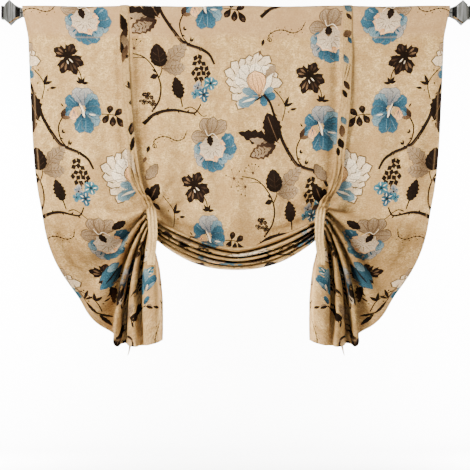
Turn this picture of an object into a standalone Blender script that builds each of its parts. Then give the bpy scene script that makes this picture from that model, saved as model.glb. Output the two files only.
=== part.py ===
"""A tie-up curtain panel on its rod, as it hangs when both pairs of ties are drawn up.

Metres, Z up. The origin is the middle of the rod's centre line. X runs along the rod, to the right seen
from the front, and the front of the cloth faces -Y. Places on the cloth are given as their distance out
from the middle line, their distance back (along +Y) and their drop below the rod's centre line.
"""

import math
from collections import namedtuple

import bmesh
import bpy
import numpy as np
from mathutils import Vector

# The flat cut and the rod
CLOTH_WIDTH = 1.168
HALF_WIDTH = CLOTH_WIDTH / 2
CLOTH_THICKNESS = 0.0010
ROD_RADIUS = 0.0127
ROD_LENGTH = 1.172
COLLAR_RADIUS = 0.0148
COLLAR_LENGTH = 0.003
ROUND_SIDES = 32
TOUCHING_GAP = 0.0003

# The rod pocket and the flat field below it
POCKET_GAP = 0.0005
POCKET_SLACK = 0.0022
POCKET_DROP = 0.065
POCKET_START = -12  # degrees around the rod, from the back
POCKET_TURN = 204
POCKET_STEPS = 9
SLACK_LENGTH = 0.27
HEM_BELOW_SEAM = 0.004
FLAP_GAP = 0.0006
FIELD_BACK = -0.003
FIELD_ROWS = 9
ROW_CROWDING = 1.25  # how much closer the field's rows are near the folds
FIELD_TURN = 0.20  # the share of the field that curves back towards the folds
DRAWN_IN = ((0, 0.29), (1, 0.37), (6, 0.34))  # power and amount of each term in drawn_in

# The soft upright folds of the field
RIPPLE_HEIGHT = 0.0045
RIPPLE_LENGTH = 0.105
RIPPLE_AT_TOP = 0.25  # the share of its height that it keeps there
WIDE_RIPPLE_LENGTH = 0.31
WIDE_RIPPLE = 0.35
WIDE_RIPPLE_START = 1.0
RIPPLE_ONSET = 6  # the ripples begin over one part in this many of the field

# Where the ties draw the cloth together, as distances from the middle of the flat cloth
TIE_INNER = 0.262
TIE_OUTER = 0.282
MIDDLE_SHARE = 0.45  # how far from the tie to the side edge the "middle" columns below lie
SWAG_COLUMNS = 10
EAR_COLUMNS = 10
COLUMN_CROWDING = 1.4  # how much closer the columns are near the ties

# How a fold turns, as shares of its width, and how finely it is worked out before its rows are picked
VALLEY_TURN = 0.22
CREST_TURN = 0.47
LONGEST_TURN = 0.88
NEAR_CREST = 0.45  # where the row beside the crest lies on its turn
STEEPEST = 1.5  # radians
LENGTH_FOR_DEPTH = 2.1  # metres of cloth for each metre that a deep fold stands out
FLAT_ONSET = 3  # a flat front begins over one part in this many of the ear
FINE_STEPS = 120
SOFT_STEP = 0.003
SOFT_ROUNDS = 120
MOST_SOFTENING = 0.6

# The lines between the folds, from the top one down. rise is how late a line rises from the centre to the
# tie, and inner and outer are the two sides of the tie.
FoldLine = namedtuple(
    "FoldLine",
    "centre_drop rise inner_x inner_drop outer_x outer_drop middle_x middle_drop edge_x edge_drop",
)
FOLD_LINES = (
    FoldLine(0.6390, 1.6, 0.2195, 0.560, 0.2517, 0.529, 0.3860, 0.545, 0.5305, 0.5417),
    FoldLine(0.6540, 1.5, 0.2190, 0.574, 0.2485, 0.545, 0.3370, 0.652, 0.4266, 0.7795),
    FoldLine(0.6650, 1.8, 0.2185, 0.587, 0.2455, 0.561, 0.3070, 0.689, 0.3310, 0.8751),
    FoldLine(0.6780, 1.8, 0.2180, 0.598, 0.2430, 0.577, 0.2870, 0.703, 0.3064, 0.9040),
    FoldLine(0.6910, 2.0, 0.2175, 0.610, 0.2405, 0.592, 0.2627, 0.708, 0.2572, 0.9080),
    FoldLine(0.7035, 2.3, 0.2170, 0.622, 0.2380, 0.607, 0.2075, 0.708, 0.1998, 0.8942),
)

# How far back each of those lines lies
LineBack = namedtuple("LineBack", "centre tie middle edge")
LINE_BACKS = (
    LineBack(0.012, 0.020, 0.010, -0.004),
    LineBack(0.030, 0.022, 0.024, 0.003),
    LineBack(0.032, 0.024, 0.030, 0.020),
    LineBack(0.034, 0.026, 0.032, 0.034),
    LineBack(-0.018, 0.026, 0.026, -0.028),
    LineBack(0.030, 0.024, 0.010, -0.012),
)

# Each fold between two lines: how far its crest stands out, its flat front as a share of its width, how
# far the side edge bows out there, and how far its creases are softened at the side edge
Fold = namedtuple("Fold", "centre tie middle edge flat bow softness")
FOLDS = (
    Fold(0.040, 0.044, 0.036, 0.010, 0.0, 0.014, 0.030),
    Fold(0.060, 0.046, 0.050, 0.026, 0.0, 0.004, 0.022),
    Fold(0.060, 0.048, 0.066, 0.062, 0.0, 0.018, 0.009),
    Fold(0.030, 0.048, 0.068, 0.040, 0.0, 0.0, 0.006),
    Fold(0.032, 0.046, 0.058, 0.026, 0.3, 0.0, 0.005),
)
FIELD_SOFTNESS = 0.030
SWAG_DEPTH_POWER = 4.5  # how late the swag's folds come to their depth at the tie

# How far a crest sags for each metre that it stands out
CentreToEdge = namedtuple("CentreToEdge", "centre tie middle edge")
CREST_SAG = CentreToEdge(0.085, 0.06, 0.06, 0.12)

# The ties, as sections along the strap: its middle, its width, its thickness and how many degrees its
# outer edge is tilted up
Section = namedtuple("Section", "x back drop width thickness tilt", defaults=(0,))
STRAP_THICKNESS = 0.0014
STRAP_GAP = 0.0016
STRAP_SPACING = 0.020
CLOTH_REACH_X = 0.018  # a strap clears the cloth's points this near to its place
CLOTH_REACH_DROP = 0.055
STRAP_TURN = (97, 111, 125, 139, 153, 167, 181, 195)  # degrees around the rod of its first sections
StrapPlace = namedtuple("StrapPlace", "x drop width")
FRONT_STRAP = (
    StrapPlace(0.3050, 0.068, 0.025),
    StrapPlace(0.3050, 0.130, 0.025),
    StrapPlace(0.2980, 0.266, 0.027),
    StrapPlace(0.2850, 0.375, 0.027),
    StrapPlace(0.2736, 0.457, 0.031),
)
BACK_STRAP = (
    StrapPlace(0.3050, 0.068, 0.025),
    StrapPlace(0.3030, 0.130, 0.025),
    StrapPlace(0.2960, 0.270, 0.025),
    StrapPlace(0.2820, 0.400, 0.025),
    StrapPlace(0.2620, 0.500, 0.023),
)
KNOT_AND_TURN = (
    Section(0.2560, -0.0165, 0.498, 0.019, 0.008),
    Section(0.2455, -0.0230, 0.508, 0.030, 0.019),
    Section(0.2385, -0.0265, 0.521, 0.036, 0.024),
    Section(0.2330, -0.0290, 0.535, 0.024, 0.015),
    Section(0.2290, -0.0335, 0.550, 0.012, 0.003),
    Section(0.2265, -0.0350, 0.580, 0.011, 0.002),
    Section(0.2240, -0.0320, 0.608, 0.010, 0.002, 15),
    Section(0.2225, -0.0180, 0.624, 0.009, 0.002, 36),
    Section(0.2225, 0.0000, 0.625, 0.009, 0.002, 36),
    Section(0.2225, 0.0230, 0.624, 0.009, 0.002, 36),
    Section(0.2235, 0.0335, 0.614, 0.010, 0.002, 25),
    Section(0.2260, 0.0350, 0.595, 0.011, 0.002, 5),
    Section(0.2320, 0.0335, 0.560, 0.012, 0.002),
)
SECTION_CORNERS = ((1, 0.55), (0.8, 1), (-0.8, 1), (-1, 0.55), (-1, -0.55), (-0.8, -1), (0.8, -1), (1, -0.55))
SHORT_END = (
    Section(0.2375, -0.0270, 0.526, 0.012, 0.010),
    Section(0.2355, -0.0365, 0.545, 0.022, 0.003),
    Section(0.2325, -0.0400, 0.575, 0.027, 0.0016),
    Section(0.2305, -0.0430, 0.620, 0.029, 0.0015),
    Section(0.2290, -0.0460, 0.660, 0.028, 0.0015),
    Section(0.2285, -0.0475, 0.688, 0.028, 0.0015),
)
BACK_END = (
    Section(0.2450, 0.0370, 0.560, 0.018, 0.0018),
    Section(0.2480, 0.0400, 0.640, 0.020, 0.0016),
    Section(0.2620, 0.0420, 0.740, 0.018, 0.0016),
    Section(0.2830, 0.0420, 0.840, 0.012, 0.0016),
    Section(0.2900, 0.0400, 0.900, 0.008, 0.0016),
    Section(0.2940, 0.0330, 0.925, 0.004, 0.0016),
    Section(0.2975, 0.0300, 0.938, 0.002, 0.0012),
)

# The finial's outline, from the collar outwards: distance from the collar and half its square side
FINIAL_OUTLINE = (
    (0.0, 0.0150),
    (0.0030, 0.0156),
    (0.0120, 0.0200),
    (0.0275, 0.0330),
    (0.0414, 0.0220),
    (0.0425, 0.0165),
    (0.0445, 0.0185),
    (0.0513, 0.0185),
)
FINIAL_CORNER = 0.004

# Colours, as linear red, green and blue
CLOTH_COLOUR = (0.66, 0.47, 0.30, 1.0)
TIE_COLOUR = (0.68, 0.50, 0.33, 1.0)
METAL_COLOUR = (0.55, 0.55, 0.53, 1.0)


def clear_scene():
    for obj in list(bpy.data.objects):
        bpy.data.objects.remove(obj, do_unlink=True)


def material(name, colour, roughness, metallic=0.0):
    made = bpy.data.materials.new(name)
    made.use_nodes = True
    shader = made.node_tree.nodes["Principled BSDF"]
    shader.inputs["Base Color"].default_value = colour
    shader.inputs["Roughness"].default_value = roughness
    shader.inputs["Metallic"].default_value = metallic
    return made


def object_of(name, points, faces, collection, look):
    """A mesh object of these points and faces, with all faces turned the same way."""
    mesh = bpy.data.meshes.new(name)
    mesh.from_pydata([tuple(map(float, p)) for p in points], [], faces)
    shape = bmesh.new()
    shape.from_mesh(mesh)
    bmesh.ops.recalc_face_normals(shape, faces=shape.faces)
    shape.to_mesh(mesh)
    shape.free()
    mesh.shade_smooth()
    mesh.set_sharp_from_angle(angle=math.radians(50))
    made = bpy.data.objects.new(name, mesh)
    made.data.materials.append(look)
    collection.objects.link(made)
    return made


def ease(share):
    share = min(max(share, 0.0), 1.0)
    return share * share * (3 - 2 * share)


def through_three(start, middle, end, share):
    """A smooth run from start to end that passes middle at MIDDLE_SHARE."""
    m = MIDDLE_SHARE
    bend = (middle - (1 - m) ** 2 * start - m * m * end) / (2 * m * (1 - m))
    return (1 - share) ** 2 * start + 2 * share * (1 - share) * bend + share**2 * end


def along_width(out, centre, inner, outer, middle, edge, power):
    """A value at this distance from the middle of the flat cloth, from its values at five places."""
    if out <= TIE_INNER:
        return centre + (inner - centre) * (out / TIE_INNER) ** power
    if out < TIE_OUTER:
        return inner + (outer - inner) * (out - TIE_INNER) / (TIE_OUTER - TIE_INNER)
    return through_three(outer, middle, edge, (out - TIE_OUTER) / (HALF_WIDTH - TIE_OUTER))


def depth_along(row, out):
    """A depth at this distance from the middle, from a row's centre, tie, middle and edge."""
    return along_width(out, row.centre, row.tie, row.tie, row.middle, row.edge, SWAG_DEPTH_POWER)


def line_point(index, out):
    """Where a line between folds lies at this distance from the middle of the flat cloth."""
    line = FOLD_LINES[index]
    x = along_width(out, 0.0, line.inner_x, line.outer_x, line.middle_x, line.edge_x, 1.0)
    drop = along_width(
        out,
        line.centre_drop,
        line.inner_drop,
        line.outer_drop,
        line.middle_drop,
        line.edge_drop,
        line.rise,
    )
    return np.array([x, depth_along(LINE_BACKS[index], out), -drop])


def fold_profile(width, depth, flat):
    """(along, out) of a fold from valley to valley, finely, and the shares of its length where it turns."""
    length = math.hypot(width, LENGTH_FOR_DEPTH * depth)
    ratio = width / length
    valley, crest, flat = VALLEY_TURN * ratio, CREST_TURN * ratio, flat * ratio
    shrink = min(1.0, LONGEST_TURN / (2 * (valley + crest) + flat))
    valley, crest, half_flat = valley * shrink, crest * shrink, flat * shrink / 2
    wall_end = 0.5 - half_flat - crest
    turns = (0, valley, wall_end, 0.5 - half_flat, 0.5 + half_flat, 1 - wall_end, 1 - valley, 1)
    share = np.linspace(0, 1, FINE_STEPS + 1)
    lean = np.interp(share, turns, (0, 1, 1, 0, 0, -1, -1, 0))
    low, high = 0.0, STEEPEST
    for _ in range(40):
        steepest = (low + high) / 2
        if np.cos(steepest * lean).mean() > ratio:
            low = steepest
        else:
            high = steepest
    middle = (lean[1:] + lean[:-1]) / 2 * steepest
    along = np.concatenate([[0], np.cumsum(np.cos(middle))])
    out = np.concatenate([[0], np.cumsum(np.sin(middle))])
    along *= width / along[-1]
    out = (out - share * out[-1]) * depth / out.max()
    near_crest = 0.5 - half_flat - NEAR_CREST * crest
    half = (0.0, valley, wall_end, near_crest)
    stops = half + (0.5,) + tuple(1 - s for s in reversed(half[1:]))
    return along, out, stops


def fold_points(index, out):
    """One fold, finely, from its upper line to just before its lower one, and where its rows lie on it."""
    fold = FOLDS[index]
    start, end = line_point(index, out), line_point(index + 1, out)
    along = (end - start) * (1, 0, 1)
    width = np.linalg.norm(along)
    side = np.array([-along[2], 0.0, along[0]]) / width
    flat = fold.flat * min(1.0, FLAT_ONSET * from_tie(out))
    runs, heights, stops = fold_profile(width, depth_along(fold, out), flat)
    share = runs / width
    bow = fold.bow * from_tie(out) ** 2 * 4 * share * (1 - share)
    points = start + np.outer(share, end - start) + np.outer(bow, side)
    points[:, 1] = start[1] + (end[1] - start[1]) * share**2 * (3 - 2 * share) - heights
    points[:, 2] -= depth_along(CREST_SAG, out) * heights
    return points[:-1], [stop * FINE_STEPS for stop in stops]


def from_tie(out):
    """0 at the tie and 1 at the side edge."""
    return max(0.0, (out - TIE_OUTER) / (HALF_WIDTH - TIE_OUTER))


def ripple(u, share):
    """How far the soft upright folds of the field stand out at this place."""
    out = abs(u)
    growth = RIPPLE_AT_TOP + (1 - RIPPLE_AT_TOP) * share**2
    wave = math.cos(2 * math.pi * out / RIPPLE_LENGTH)
    wave += WIDE_RIPPLE * math.sin(2 * math.pi * u / WIDE_RIPPLE_LENGTH + WIDE_RIPPLE_START)
    return RIPPLE_HEIGHT * growth * wave * ease(share * RIPPLE_ONSET)


def drawn_in(share):
    """How much of its final narrowing the cloth has at this share of the field's height."""
    return sum(amount * share**power for power, amount in DRAWN_IN)


def field_points(u):
    """The flat field at this column, finely, from the pocket's seam down to the first fold line."""
    out = abs(u)
    end = line_point(0, out)
    points = []
    for step in range(FINE_STEPS):
        share = step / FINE_STEPS
        drop = POCKET_DROP + (-end[2] - POCKET_DROP) * share
        x = out + (end[0] - out) * drawn_in(share)
        turn = ease((share - 1 + FIELD_TURN) / FIELD_TURN)
        flat = FIELD_BACK - ripple(u, share)
        points.append((x, flat + (end[1] - flat) * turn, -drop))
    rows = [FINE_STEPS * (1 - (1 - row / FIELD_ROWS) ** ROW_CROWDING) for row in range(FIELD_ROWS)]
    return np.array(points), rows


def pocket_reach(u, angle):
    """How far the pocket's cloth is from the rod's centre line, at this angle around it from the back."""
    slack = POCKET_SLACK * (0.5 + 0.5 * math.cos(2 * math.pi * u / SLACK_LENGTH))
    return ROD_RADIUS + POCKET_GAP + CLOTH_THICKNESS / 2 + slack * max(0.0, math.sin(angle)) ** 2


def pocket_points(u):
    """The pocket at this column: from the hem behind the seam, up, over the rod and down in front."""
    out = abs(u)
    seam_x = (line_point(0, out)[0] - out) * drawn_in(0)
    points = [(out + seam_x, FIELD_BACK + CLOTH_THICKNESS + FLAP_GAP, -POCKET_DROP - HEM_BELOW_SEAM)]
    for step in range(POCKET_STEPS + 1):
        angle = math.radians(POCKET_START + POCKET_TURN * step / POCKET_STEPS)
        reach = pocket_reach(u, angle)
        drop = -reach * math.sin(angle)
        x = out + seam_x * (drop + ROD_RADIUS) / (POCKET_DROP + ROD_RADIUS)
        points.append((x, reach * math.cos(angle), -drop))
    return points


def softened(points, softness):
    """A run of points with its creases softened, by this many metres at each point."""
    arc = np.concatenate([[0], np.cumsum(np.linalg.norm(np.diff(points, axis=0), axis=1))])
    even = np.linspace(0, arc[-1], round(arc[-1] / SOFT_STEP) + 1)
    line = np.array([np.interp(even, arc, axis) for axis in points.T]).T
    spread = np.interp(even, arc, softness)[1:-1, None]
    weight = np.clip(spread**2 / (SOFT_ROUNDS * SOFT_STEP**2), 0, MOST_SOFTENING)
    for _ in range(SOFT_ROUNDS):
        line[1:-1] += weight * ((line[:-2] + line[2:]) / 2 - line[1:-1])
    return np.array([np.interp(arc, even, axis) for axis in line.T]).T


def column_points(u):
    """Every point of the cloth at one column, from the pocket's hem to the bottom hem."""
    out = abs(u)
    field, stops = field_points(u)
    runs, softness = [field], [np.full(len(field), FIELD_SOFTNESS)]
    for index, fold in enumerate(FOLDS):
        run, rows = fold_points(index, out)
        stops += [row + sum(map(len, runs)) for row in rows]
        runs.append(run)
        softness.append(np.full(len(run), fold.softness * from_tie(out) ** 0.5))
    runs.append(line_point(len(FOLDS), out)[None])
    line = np.concatenate(runs)
    softness = np.concatenate(softness + [[0.0]])
    softness[: len(field)] *= np.linspace(0, 1, len(field)) ** 3 * from_tie(out) ** 0.5
    line = softened(line, softness)
    stops.append(len(line) - 1)
    rows = np.array([np.interp(stops, np.arange(len(line)), axis) for axis in line.T]).T
    points = np.concatenate([np.array(pocket_points(u)), rows])
    points[:, 0] *= math.copysign(1.0, u)
    return points


def column_places():
    """The columns' places on the flat cloth, closer together near the ties."""
    power = COLUMN_CROWDING
    inner = [TIE_INNER * (1 - (1 - i / SWAG_COLUMNS) ** power) for i in range(SWAG_COLUMNS + 1)]
    ear = HALF_WIDTH - TIE_OUTER
    outer = [TIE_OUTER + ear * (i / EAR_COLUMNS) ** power for i in range(EAR_COLUMNS + 1)]
    half = inner + outer
    return [-u for u in reversed(half[1:])] + half


def make_panel(collection, look):
    columns = [column_points(u) for u in column_places()]
    rows = len(columns[0])
    points = [p for column in columns for p in column]
    faces = [
        (i * rows + j, i * rows + j + 1, (i + 1) * rows + j + 1, (i + 1) * rows + j)
        for i in range(len(columns) - 1)
        for j in range(rows - 1)
    ]
    panel = object_of("curtain_panel", points, faces, collection, look)
    thicken = panel.modifiers.new("thickness", "SOLIDIFY")
    thicken.thickness = CLOTH_THICKNESS
    thicken.offset = 0
    return np.array(points)


def cloth_face(cloth, place, front):
    """How far back the cloth's front or back face lies near this place, over the strap's width."""
    near_x = abs(np.abs(cloth[:, 0]) - place.x) < place.width / 2 + CLOTH_REACH_X
    near_drop = abs(-cloth[:, 2] - place.drop) < CLOTH_REACH_DROP
    backs = cloth[near_x & near_drop, 1]
    return backs.min() if front else backs.max()


def strap_sections(cloth, route, front):
    """Sections along a strap that is sewn on over the rod and lies on the cloth's front or back."""
    sections = []
    side = -1 if front else 1
    top = route[0]
    for degrees in STRAP_TURN:
        angle = math.radians(degrees)
        reach = max(pocket_reach(top.x + edge * top.width / 2, angle) for edge in (-1, 0, 1))
        reach += CLOTH_THICKNESS / 2 + TOUCHING_GAP + STRAP_THICKNESS / 2
        back = -side * reach * math.cos(angle)
        sections.append(Section(top.x, back, -reach * math.sin(angle), top.width, STRAP_THICKNESS))
    lift = CLOTH_THICKNESS / 2 + STRAP_GAP + STRAP_THICKNESS / 2
    seam_back = FIELD_BACK if front else FIELD_BACK + CLOTH_THICKNESS + FLAP_GAP
    sections.append(Section(top.x, seam_back + side * lift, top.drop, top.width, STRAP_THICKNESS))
    for place in route[1:]:
        face = cloth_face(cloth, place, front)
        sections.append(Section(place.x, face + side * lift, place.drop, place.width, STRAP_THICKNESS))
    return sections


def smooth_sections(sections):
    """More sections between these, on a smooth curve through them."""
    rows = np.array(sections, float)
    rows = np.vstack([2 * rows[0] - rows[1], rows, 2 * rows[-1] - rows[-2]])
    made = []
    for i in range(1, len(rows) - 2):
        before, start, end, after = rows[i - 1 : i + 3]
        steps = max(1, round(np.linalg.norm((end - start)[:3]) / STRAP_SPACING))
        for t in np.arange(steps) / steps:
            made.append(
                0.5
                * (
                    2 * start
                    + (end - before) * t
                    + (2 * before - 5 * start + 4 * end - after) * t**2
                    + (3 * start - before - 3 * end + after) * t**3
                )
            )
    made.append(rows[-2])
    return np.array(made)


def loft_faces(sections, count):
    """The faces of a loft through this many sections of count corners each, closed at both ends."""
    faces = [
        (i * count + j, i * count + (j + 1) % count, (i + 1) * count + (j + 1) % count, (i + 1) * count + j)
        for i in range(sections - 1)
        for j in range(count)
    ]
    faces.append(tuple(range(count)))
    faces.append(tuple((sections - 1) * count + j for j in range(count)))
    return faces


def make_ribbon(name, sections, side, collection, look):
    """A strap or knot: a run of flat round-edged sections, closed at both ends."""
    rows = smooth_sections(sections)
    middles = rows[:, :3] * (side, 1.0, -1.0)
    tangents = np.gradient(middles, axis=0)
    tangents /= np.linalg.norm(tangents, axis=1, keepdims=True)
    points = []
    for middle, tangent, row in zip(middles, tangents, rows):
        tilt = math.radians(row[5])
        across = Vector((side * math.cos(tilt), 0, math.sin(tilt)))
        across -= Vector(tangent) * across.dot(Vector(tangent))
        across.normalize()
        up = Vector(tangent).cross(across)
        for a, b in SECTION_CORNERS:
            points.append(Vector(middle) + across * (a * row[3] / 2) + up * (b * row[4] / 2))
    return object_of(name, points, loft_faces(len(rows), len(SECTION_CORNERS)), collection, look)


def make_ties(cloth, collection, helpers, look):
    for label, side in (("left", -1), ("right", 1)):
        strap = strap_sections(cloth, FRONT_STRAP, True) + list(KNOT_AND_TURN)
        front_tie = make_ribbon(f"{label}_front_tie", strap, side, collection, look)
        short_end = make_ribbon(f"{label}_short_end", SHORT_END, side, helpers, look)
        short_end.hide_render = True
        short_end.display_type = "WIRE"
        join = front_tie.modifiers.new("short end", "BOOLEAN")
        join.operation = "UNION"
        join.object = short_end
        back = strap_sections(cloth, BACK_STRAP, False) + list(BACK_END)
        make_ribbon(f"{label}_back_tie", back, side, collection, look)


def make_rod(collection, look):
    bpy.ops.mesh.primitive_cylinder_add(
        vertices=ROUND_SIDES, radius=ROD_RADIUS, depth=ROD_LENGTH, rotation=(0, math.pi / 2, 0)
    )
    adopt(bpy.context.object, "rod", collection, look)


def adopt(made, name, collection, look):
    """Names an object that an operator made, gives it its material and puts it in the collection."""
    made.name = name
    made.data.name = name
    made.data.materials.append(look)
    for old in list(made.users_collection):
        old.objects.unlink(made)
    collection.objects.link(made)
    made.data.shade_smooth()
    made.data.set_sharp_from_angle(angle=math.radians(30))


def make_collar(label, side, collection, look):
    """A ring beyond the rod's end. Gives back where the finial starts."""
    bpy.ops.mesh.primitive_cylinder_add(
        vertices=ROUND_SIDES,
        radius=COLLAR_RADIUS,
        depth=COLLAR_LENGTH,
        location=(side * (ROD_LENGTH / 2 + TOUCHING_GAP + COLLAR_LENGTH / 2), 0, 0),
        rotation=(0, math.pi / 2, 0),
    )
    adopt(bpy.context.object, f"{label}_collar", collection, look)
    return ROD_LENGTH / 2 + 2 * TOUCHING_GAP + COLLAR_LENGTH


def make_finial(label, side, start, collection, look):
    """A square knob lofted along its outline, with its long corners cut off."""
    points = []
    for run, half in FINIAL_OUTLINE:
        flat = half - FINIAL_CORNER
        corners = ((half, flat), (flat, half), (-flat, half), (-half, flat))
        corners += tuple((-y, -z) for y, z in corners)
        points += [(side * (start + run), y, z) for y, z in corners]
    made = object_of(f"{label}_finial", points, loft_faces(len(FINIAL_OUTLINE), 8), collection, look)
    made.data.set_sharp_from_angle(angle=math.radians(10))


def main():
    clear_scene()
    collection = bpy.data.collections.new("tie_up_curtain")
    helpers = bpy.data.collections.new("helpers")
    bpy.context.scene.collection.children.link(collection)
    bpy.context.scene.collection.children.link(helpers)
    cloth_look = material("printed_linen", CLOTH_COLOUR, 0.9)
    tie_look = material("tie_linen", TIE_COLOUR, 0.9)
    metal_look = material("polished_metal", METAL_COLOUR, 0.12, 1.0)
    cloth = make_panel(collection, cloth_look)
    make_ties(cloth, collection, helpers, tie_look)
    make_rod(collection, metal_look)
    for label, side in (("left", -1), ("right", 1)):
        collar_end = make_collar(label, side, collection, metal_look)
        make_finial(label, side, collar_end, collection, metal_look)


main()
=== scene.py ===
"""The looks of a tie-up curtain panel on its rod.

Metres, Z up, in the solids' own frame: the origin is the middle of the rod's centre line, X runs along the
rod to the right seen from the front, and the front of the cloth faces -Y. Drop is measured down from there.
A place on the flat cloth is (u, v): u across from its middle line, and v along it, from the hem behind the
rod pocket, over the rod and down to the bottom hem.
"""

import math
from collections import namedtuple

import bpy
import numpy as np
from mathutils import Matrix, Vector
from mathutils.bvhtree import BVHTree
from mathutils.geometry import delaunay_2d_cdt
from mathutils.kdtree import KDTree


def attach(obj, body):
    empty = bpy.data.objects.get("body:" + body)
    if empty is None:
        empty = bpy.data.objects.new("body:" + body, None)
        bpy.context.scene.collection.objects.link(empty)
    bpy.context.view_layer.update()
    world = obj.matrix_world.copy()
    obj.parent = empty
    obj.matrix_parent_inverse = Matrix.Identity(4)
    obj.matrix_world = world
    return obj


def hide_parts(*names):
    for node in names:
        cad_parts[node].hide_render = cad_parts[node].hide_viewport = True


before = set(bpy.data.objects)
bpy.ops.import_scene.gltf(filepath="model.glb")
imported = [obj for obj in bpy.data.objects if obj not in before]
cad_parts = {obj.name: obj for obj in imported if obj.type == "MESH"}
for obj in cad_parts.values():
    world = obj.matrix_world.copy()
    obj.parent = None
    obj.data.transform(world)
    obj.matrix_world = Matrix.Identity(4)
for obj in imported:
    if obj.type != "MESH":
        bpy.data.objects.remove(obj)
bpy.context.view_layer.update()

# The flat cut and the rod
CLOTH_WIDTH = 1.168
HALF_WIDTH = CLOTH_WIDTH / 2
CLOTH_THICKNESS = 0.0010
ROD_RADIUS = 0.0127

# The rod pocket and the flat field below it
POCKET_GAP = 0.0005
POCKET_SLACK = 0.0060
POCKET_UNEVEN = 0.2  # the share of the slack that comes and goes along the rod
POCKET_DROP = 0.065
POCKET_START = -12  # degrees around the rod, from the back
POCKET_TURN = 204
POCKET_STEPS = 34
SLACK_LENGTH = 0.27
HEM_BELOW_SEAM = 0.004
FLAP_GAP = 0.0006
FIELD_BACK = -0.003
FIELD_TURN = 0.20  # the share of the field that curves back towards the folds
DRAWN_IN = ((0, 0.29), (1, 0.37), (6, 0.34))  # power and amount of each term in drawn_in

# The soft upright folds of the field
RIPPLE_HEIGHT = 0.0045
RIPPLE_LENGTH = 0.105
RIPPLE_AT_TOP = 0.25  # the share of its height that it keeps there
WIDE_RIPPLE_LENGTH = 0.31
WIDE_RIPPLE = 0.35
WIDE_RIPPLE_START = 1.0
RIPPLE_ONSET = 6  # the ripples begin over one part in this many of the field

# Where the ties draw the cloth together, as distances from the middle of the flat cloth
TIE_INNER = 0.262
TIE_OUTER = 0.282
MIDDLE_SHARE = 0.45  # how far from the tie to the side edge the "middle" columns below lie

# How a fold turns, as shares of its width
VALLEY_TURN = 0.22
CREST_TURN = 0.47
LONGEST_TURN = 0.88
STEEPEST = 1.5  # radians
LENGTH_FOR_DEPTH = 2.1  # metres of cloth for each metre that a deep fold stands out
FLAT_ONSET = 3  # a flat front begins over one part in this many of the ear
FINE_STEPS = 120
TURN_SEARCH = 40  # halvings in the search for how steep a fold's walls are
SOFT_STEP = 0.003
SOFT_ROUNDS = 120
MOST_SOFTENING = 0.6

# The lines between the folds, from the top one down. rise is how late a line rises from the centre to the
# tie, and inner and outer are the two sides of the tie.
FoldLine = namedtuple(
    "FoldLine",
    "centre_drop rise inner_x inner_drop outer_x outer_drop middle_x middle_drop edge_x edge_drop",
)
FOLD_LINES = (
    FoldLine(0.6390, 1.6, 0.2195, 0.560, 0.2517, 0.529, 0.3860, 0.545, 0.5305, 0.5417),
    FoldLine(0.6540, 1.5, 0.2190, 0.574, 0.2485, 0.545, 0.3370, 0.652, 0.4266, 0.7795),
    FoldLine(0.6650, 1.8, 0.2185, 0.587, 0.2455, 0.561, 0.3070, 0.689, 0.3310, 0.8751),
    FoldLine(0.6780, 1.8, 0.2180, 0.598, 0.2430, 0.577, 0.2870, 0.703, 0.3064, 0.9040),
    FoldLine(0.6910, 2.0, 0.2175, 0.610, 0.2405, 0.592, 0.2627, 0.708, 0.2572, 0.9080),
    FoldLine(0.7035, 2.3, 0.2170, 0.622, 0.2380, 0.607, 0.2075, 0.708, 0.1998, 0.8942),
)

# How far back each of those lines lies
LineBack = namedtuple("LineBack", "centre tie middle edge")
LINE_BACKS = (
    LineBack(0.012, 0.020, 0.010, -0.004),
    LineBack(0.030, 0.022, 0.024, 0.003),
    LineBack(0.032, 0.024, 0.030, 0.020),
    LineBack(0.034, 0.026, 0.032, 0.034),
    LineBack(-0.018, 0.026, 0.026, -0.028),
    LineBack(0.030, 0.024, 0.010, -0.012),
)

# Each fold between two lines: how far its crest stands out, its flat front as a share of its width, how
# far the side edge bows out there, and how far its creases are softened at the side edge
Fold = namedtuple("Fold", "centre tie middle edge flat bow softness")
FOLDS = (
    Fold(0.040, 0.044, 0.036, 0.010, 0.0, 0.022, 0.030),
    Fold(0.060, 0.046, 0.050, 0.026, 0.0, 0.016, 0.022),
    Fold(0.060, 0.048, 0.066, 0.062, 0.0, 0.018, 0.009),
    Fold(0.030, 0.048, 0.068, 0.040, 0.0, 0.0, 0.006),
    Fold(0.032, 0.046, 0.058, 0.026, 0.3, 0.0, 0.005),
)
FIELD_SOFTNESS = 0.030
SWAG_DEPTH_POWER = 4.5  # how late the swag's folds come to their depth at the tie

# How far a crest sags for each metre that it stands out
CentreToEdge = namedtuple("CentreToEdge", "centre tie middle edge")
CREST_SAG = CentreToEdge(0.085, 0.06, 0.06, 0.12)

# The mesh of the cloth: the step of its points, the spacing of the worked-out columns, and how far its
# printed face and its back lie from its middle surface
MESH_STEP = 0.0058
COLUMN_STEP = 0.003
FACE_OFF = 0.0005
BACK_OFF = 0.0009
NEAR_TIE = 0.062  # how far on each side of a tie the points lie closest together
ABOVE_FOLDS = 0.03  # closer points begin this far above the folds
BELOW_SEAM = 0.01  # and the pocket's end this far below its seam
ABOVE_HEM = 0.6  # of a step: an inner point nearer to the hem is left out
CREASE_TO_MESH = 0.0006  # a small crease this high has its points closer together
DEEP_TROUGH = 0.0012  # and one this deep has them so on the back too
ENOUGH_OUTLINE = 2  # outline points in one step of the mesh that stand in for a point of its own
NORMAL_STEP = 0.0010
SAME_PLACE = 1e-6
TINY = 1e-12

# The photograph's frame: it is square, and the camera looks straight at the cloth
FRAME_WIDTH = 1.2845
CAMERA_PLACE = Vector((-0.003, -6.0, -0.6073))
SENSOR_WIDTH = 36.0

# The drawing of the hung curtain that the print and creases are placed on: metres to a step, and where
# the rod's middle lies on it, in steps from the left and from the top
DRAWING_STEP = 0.002733
DRAWING_MIDDLE = (236.1, 12.8)


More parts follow.
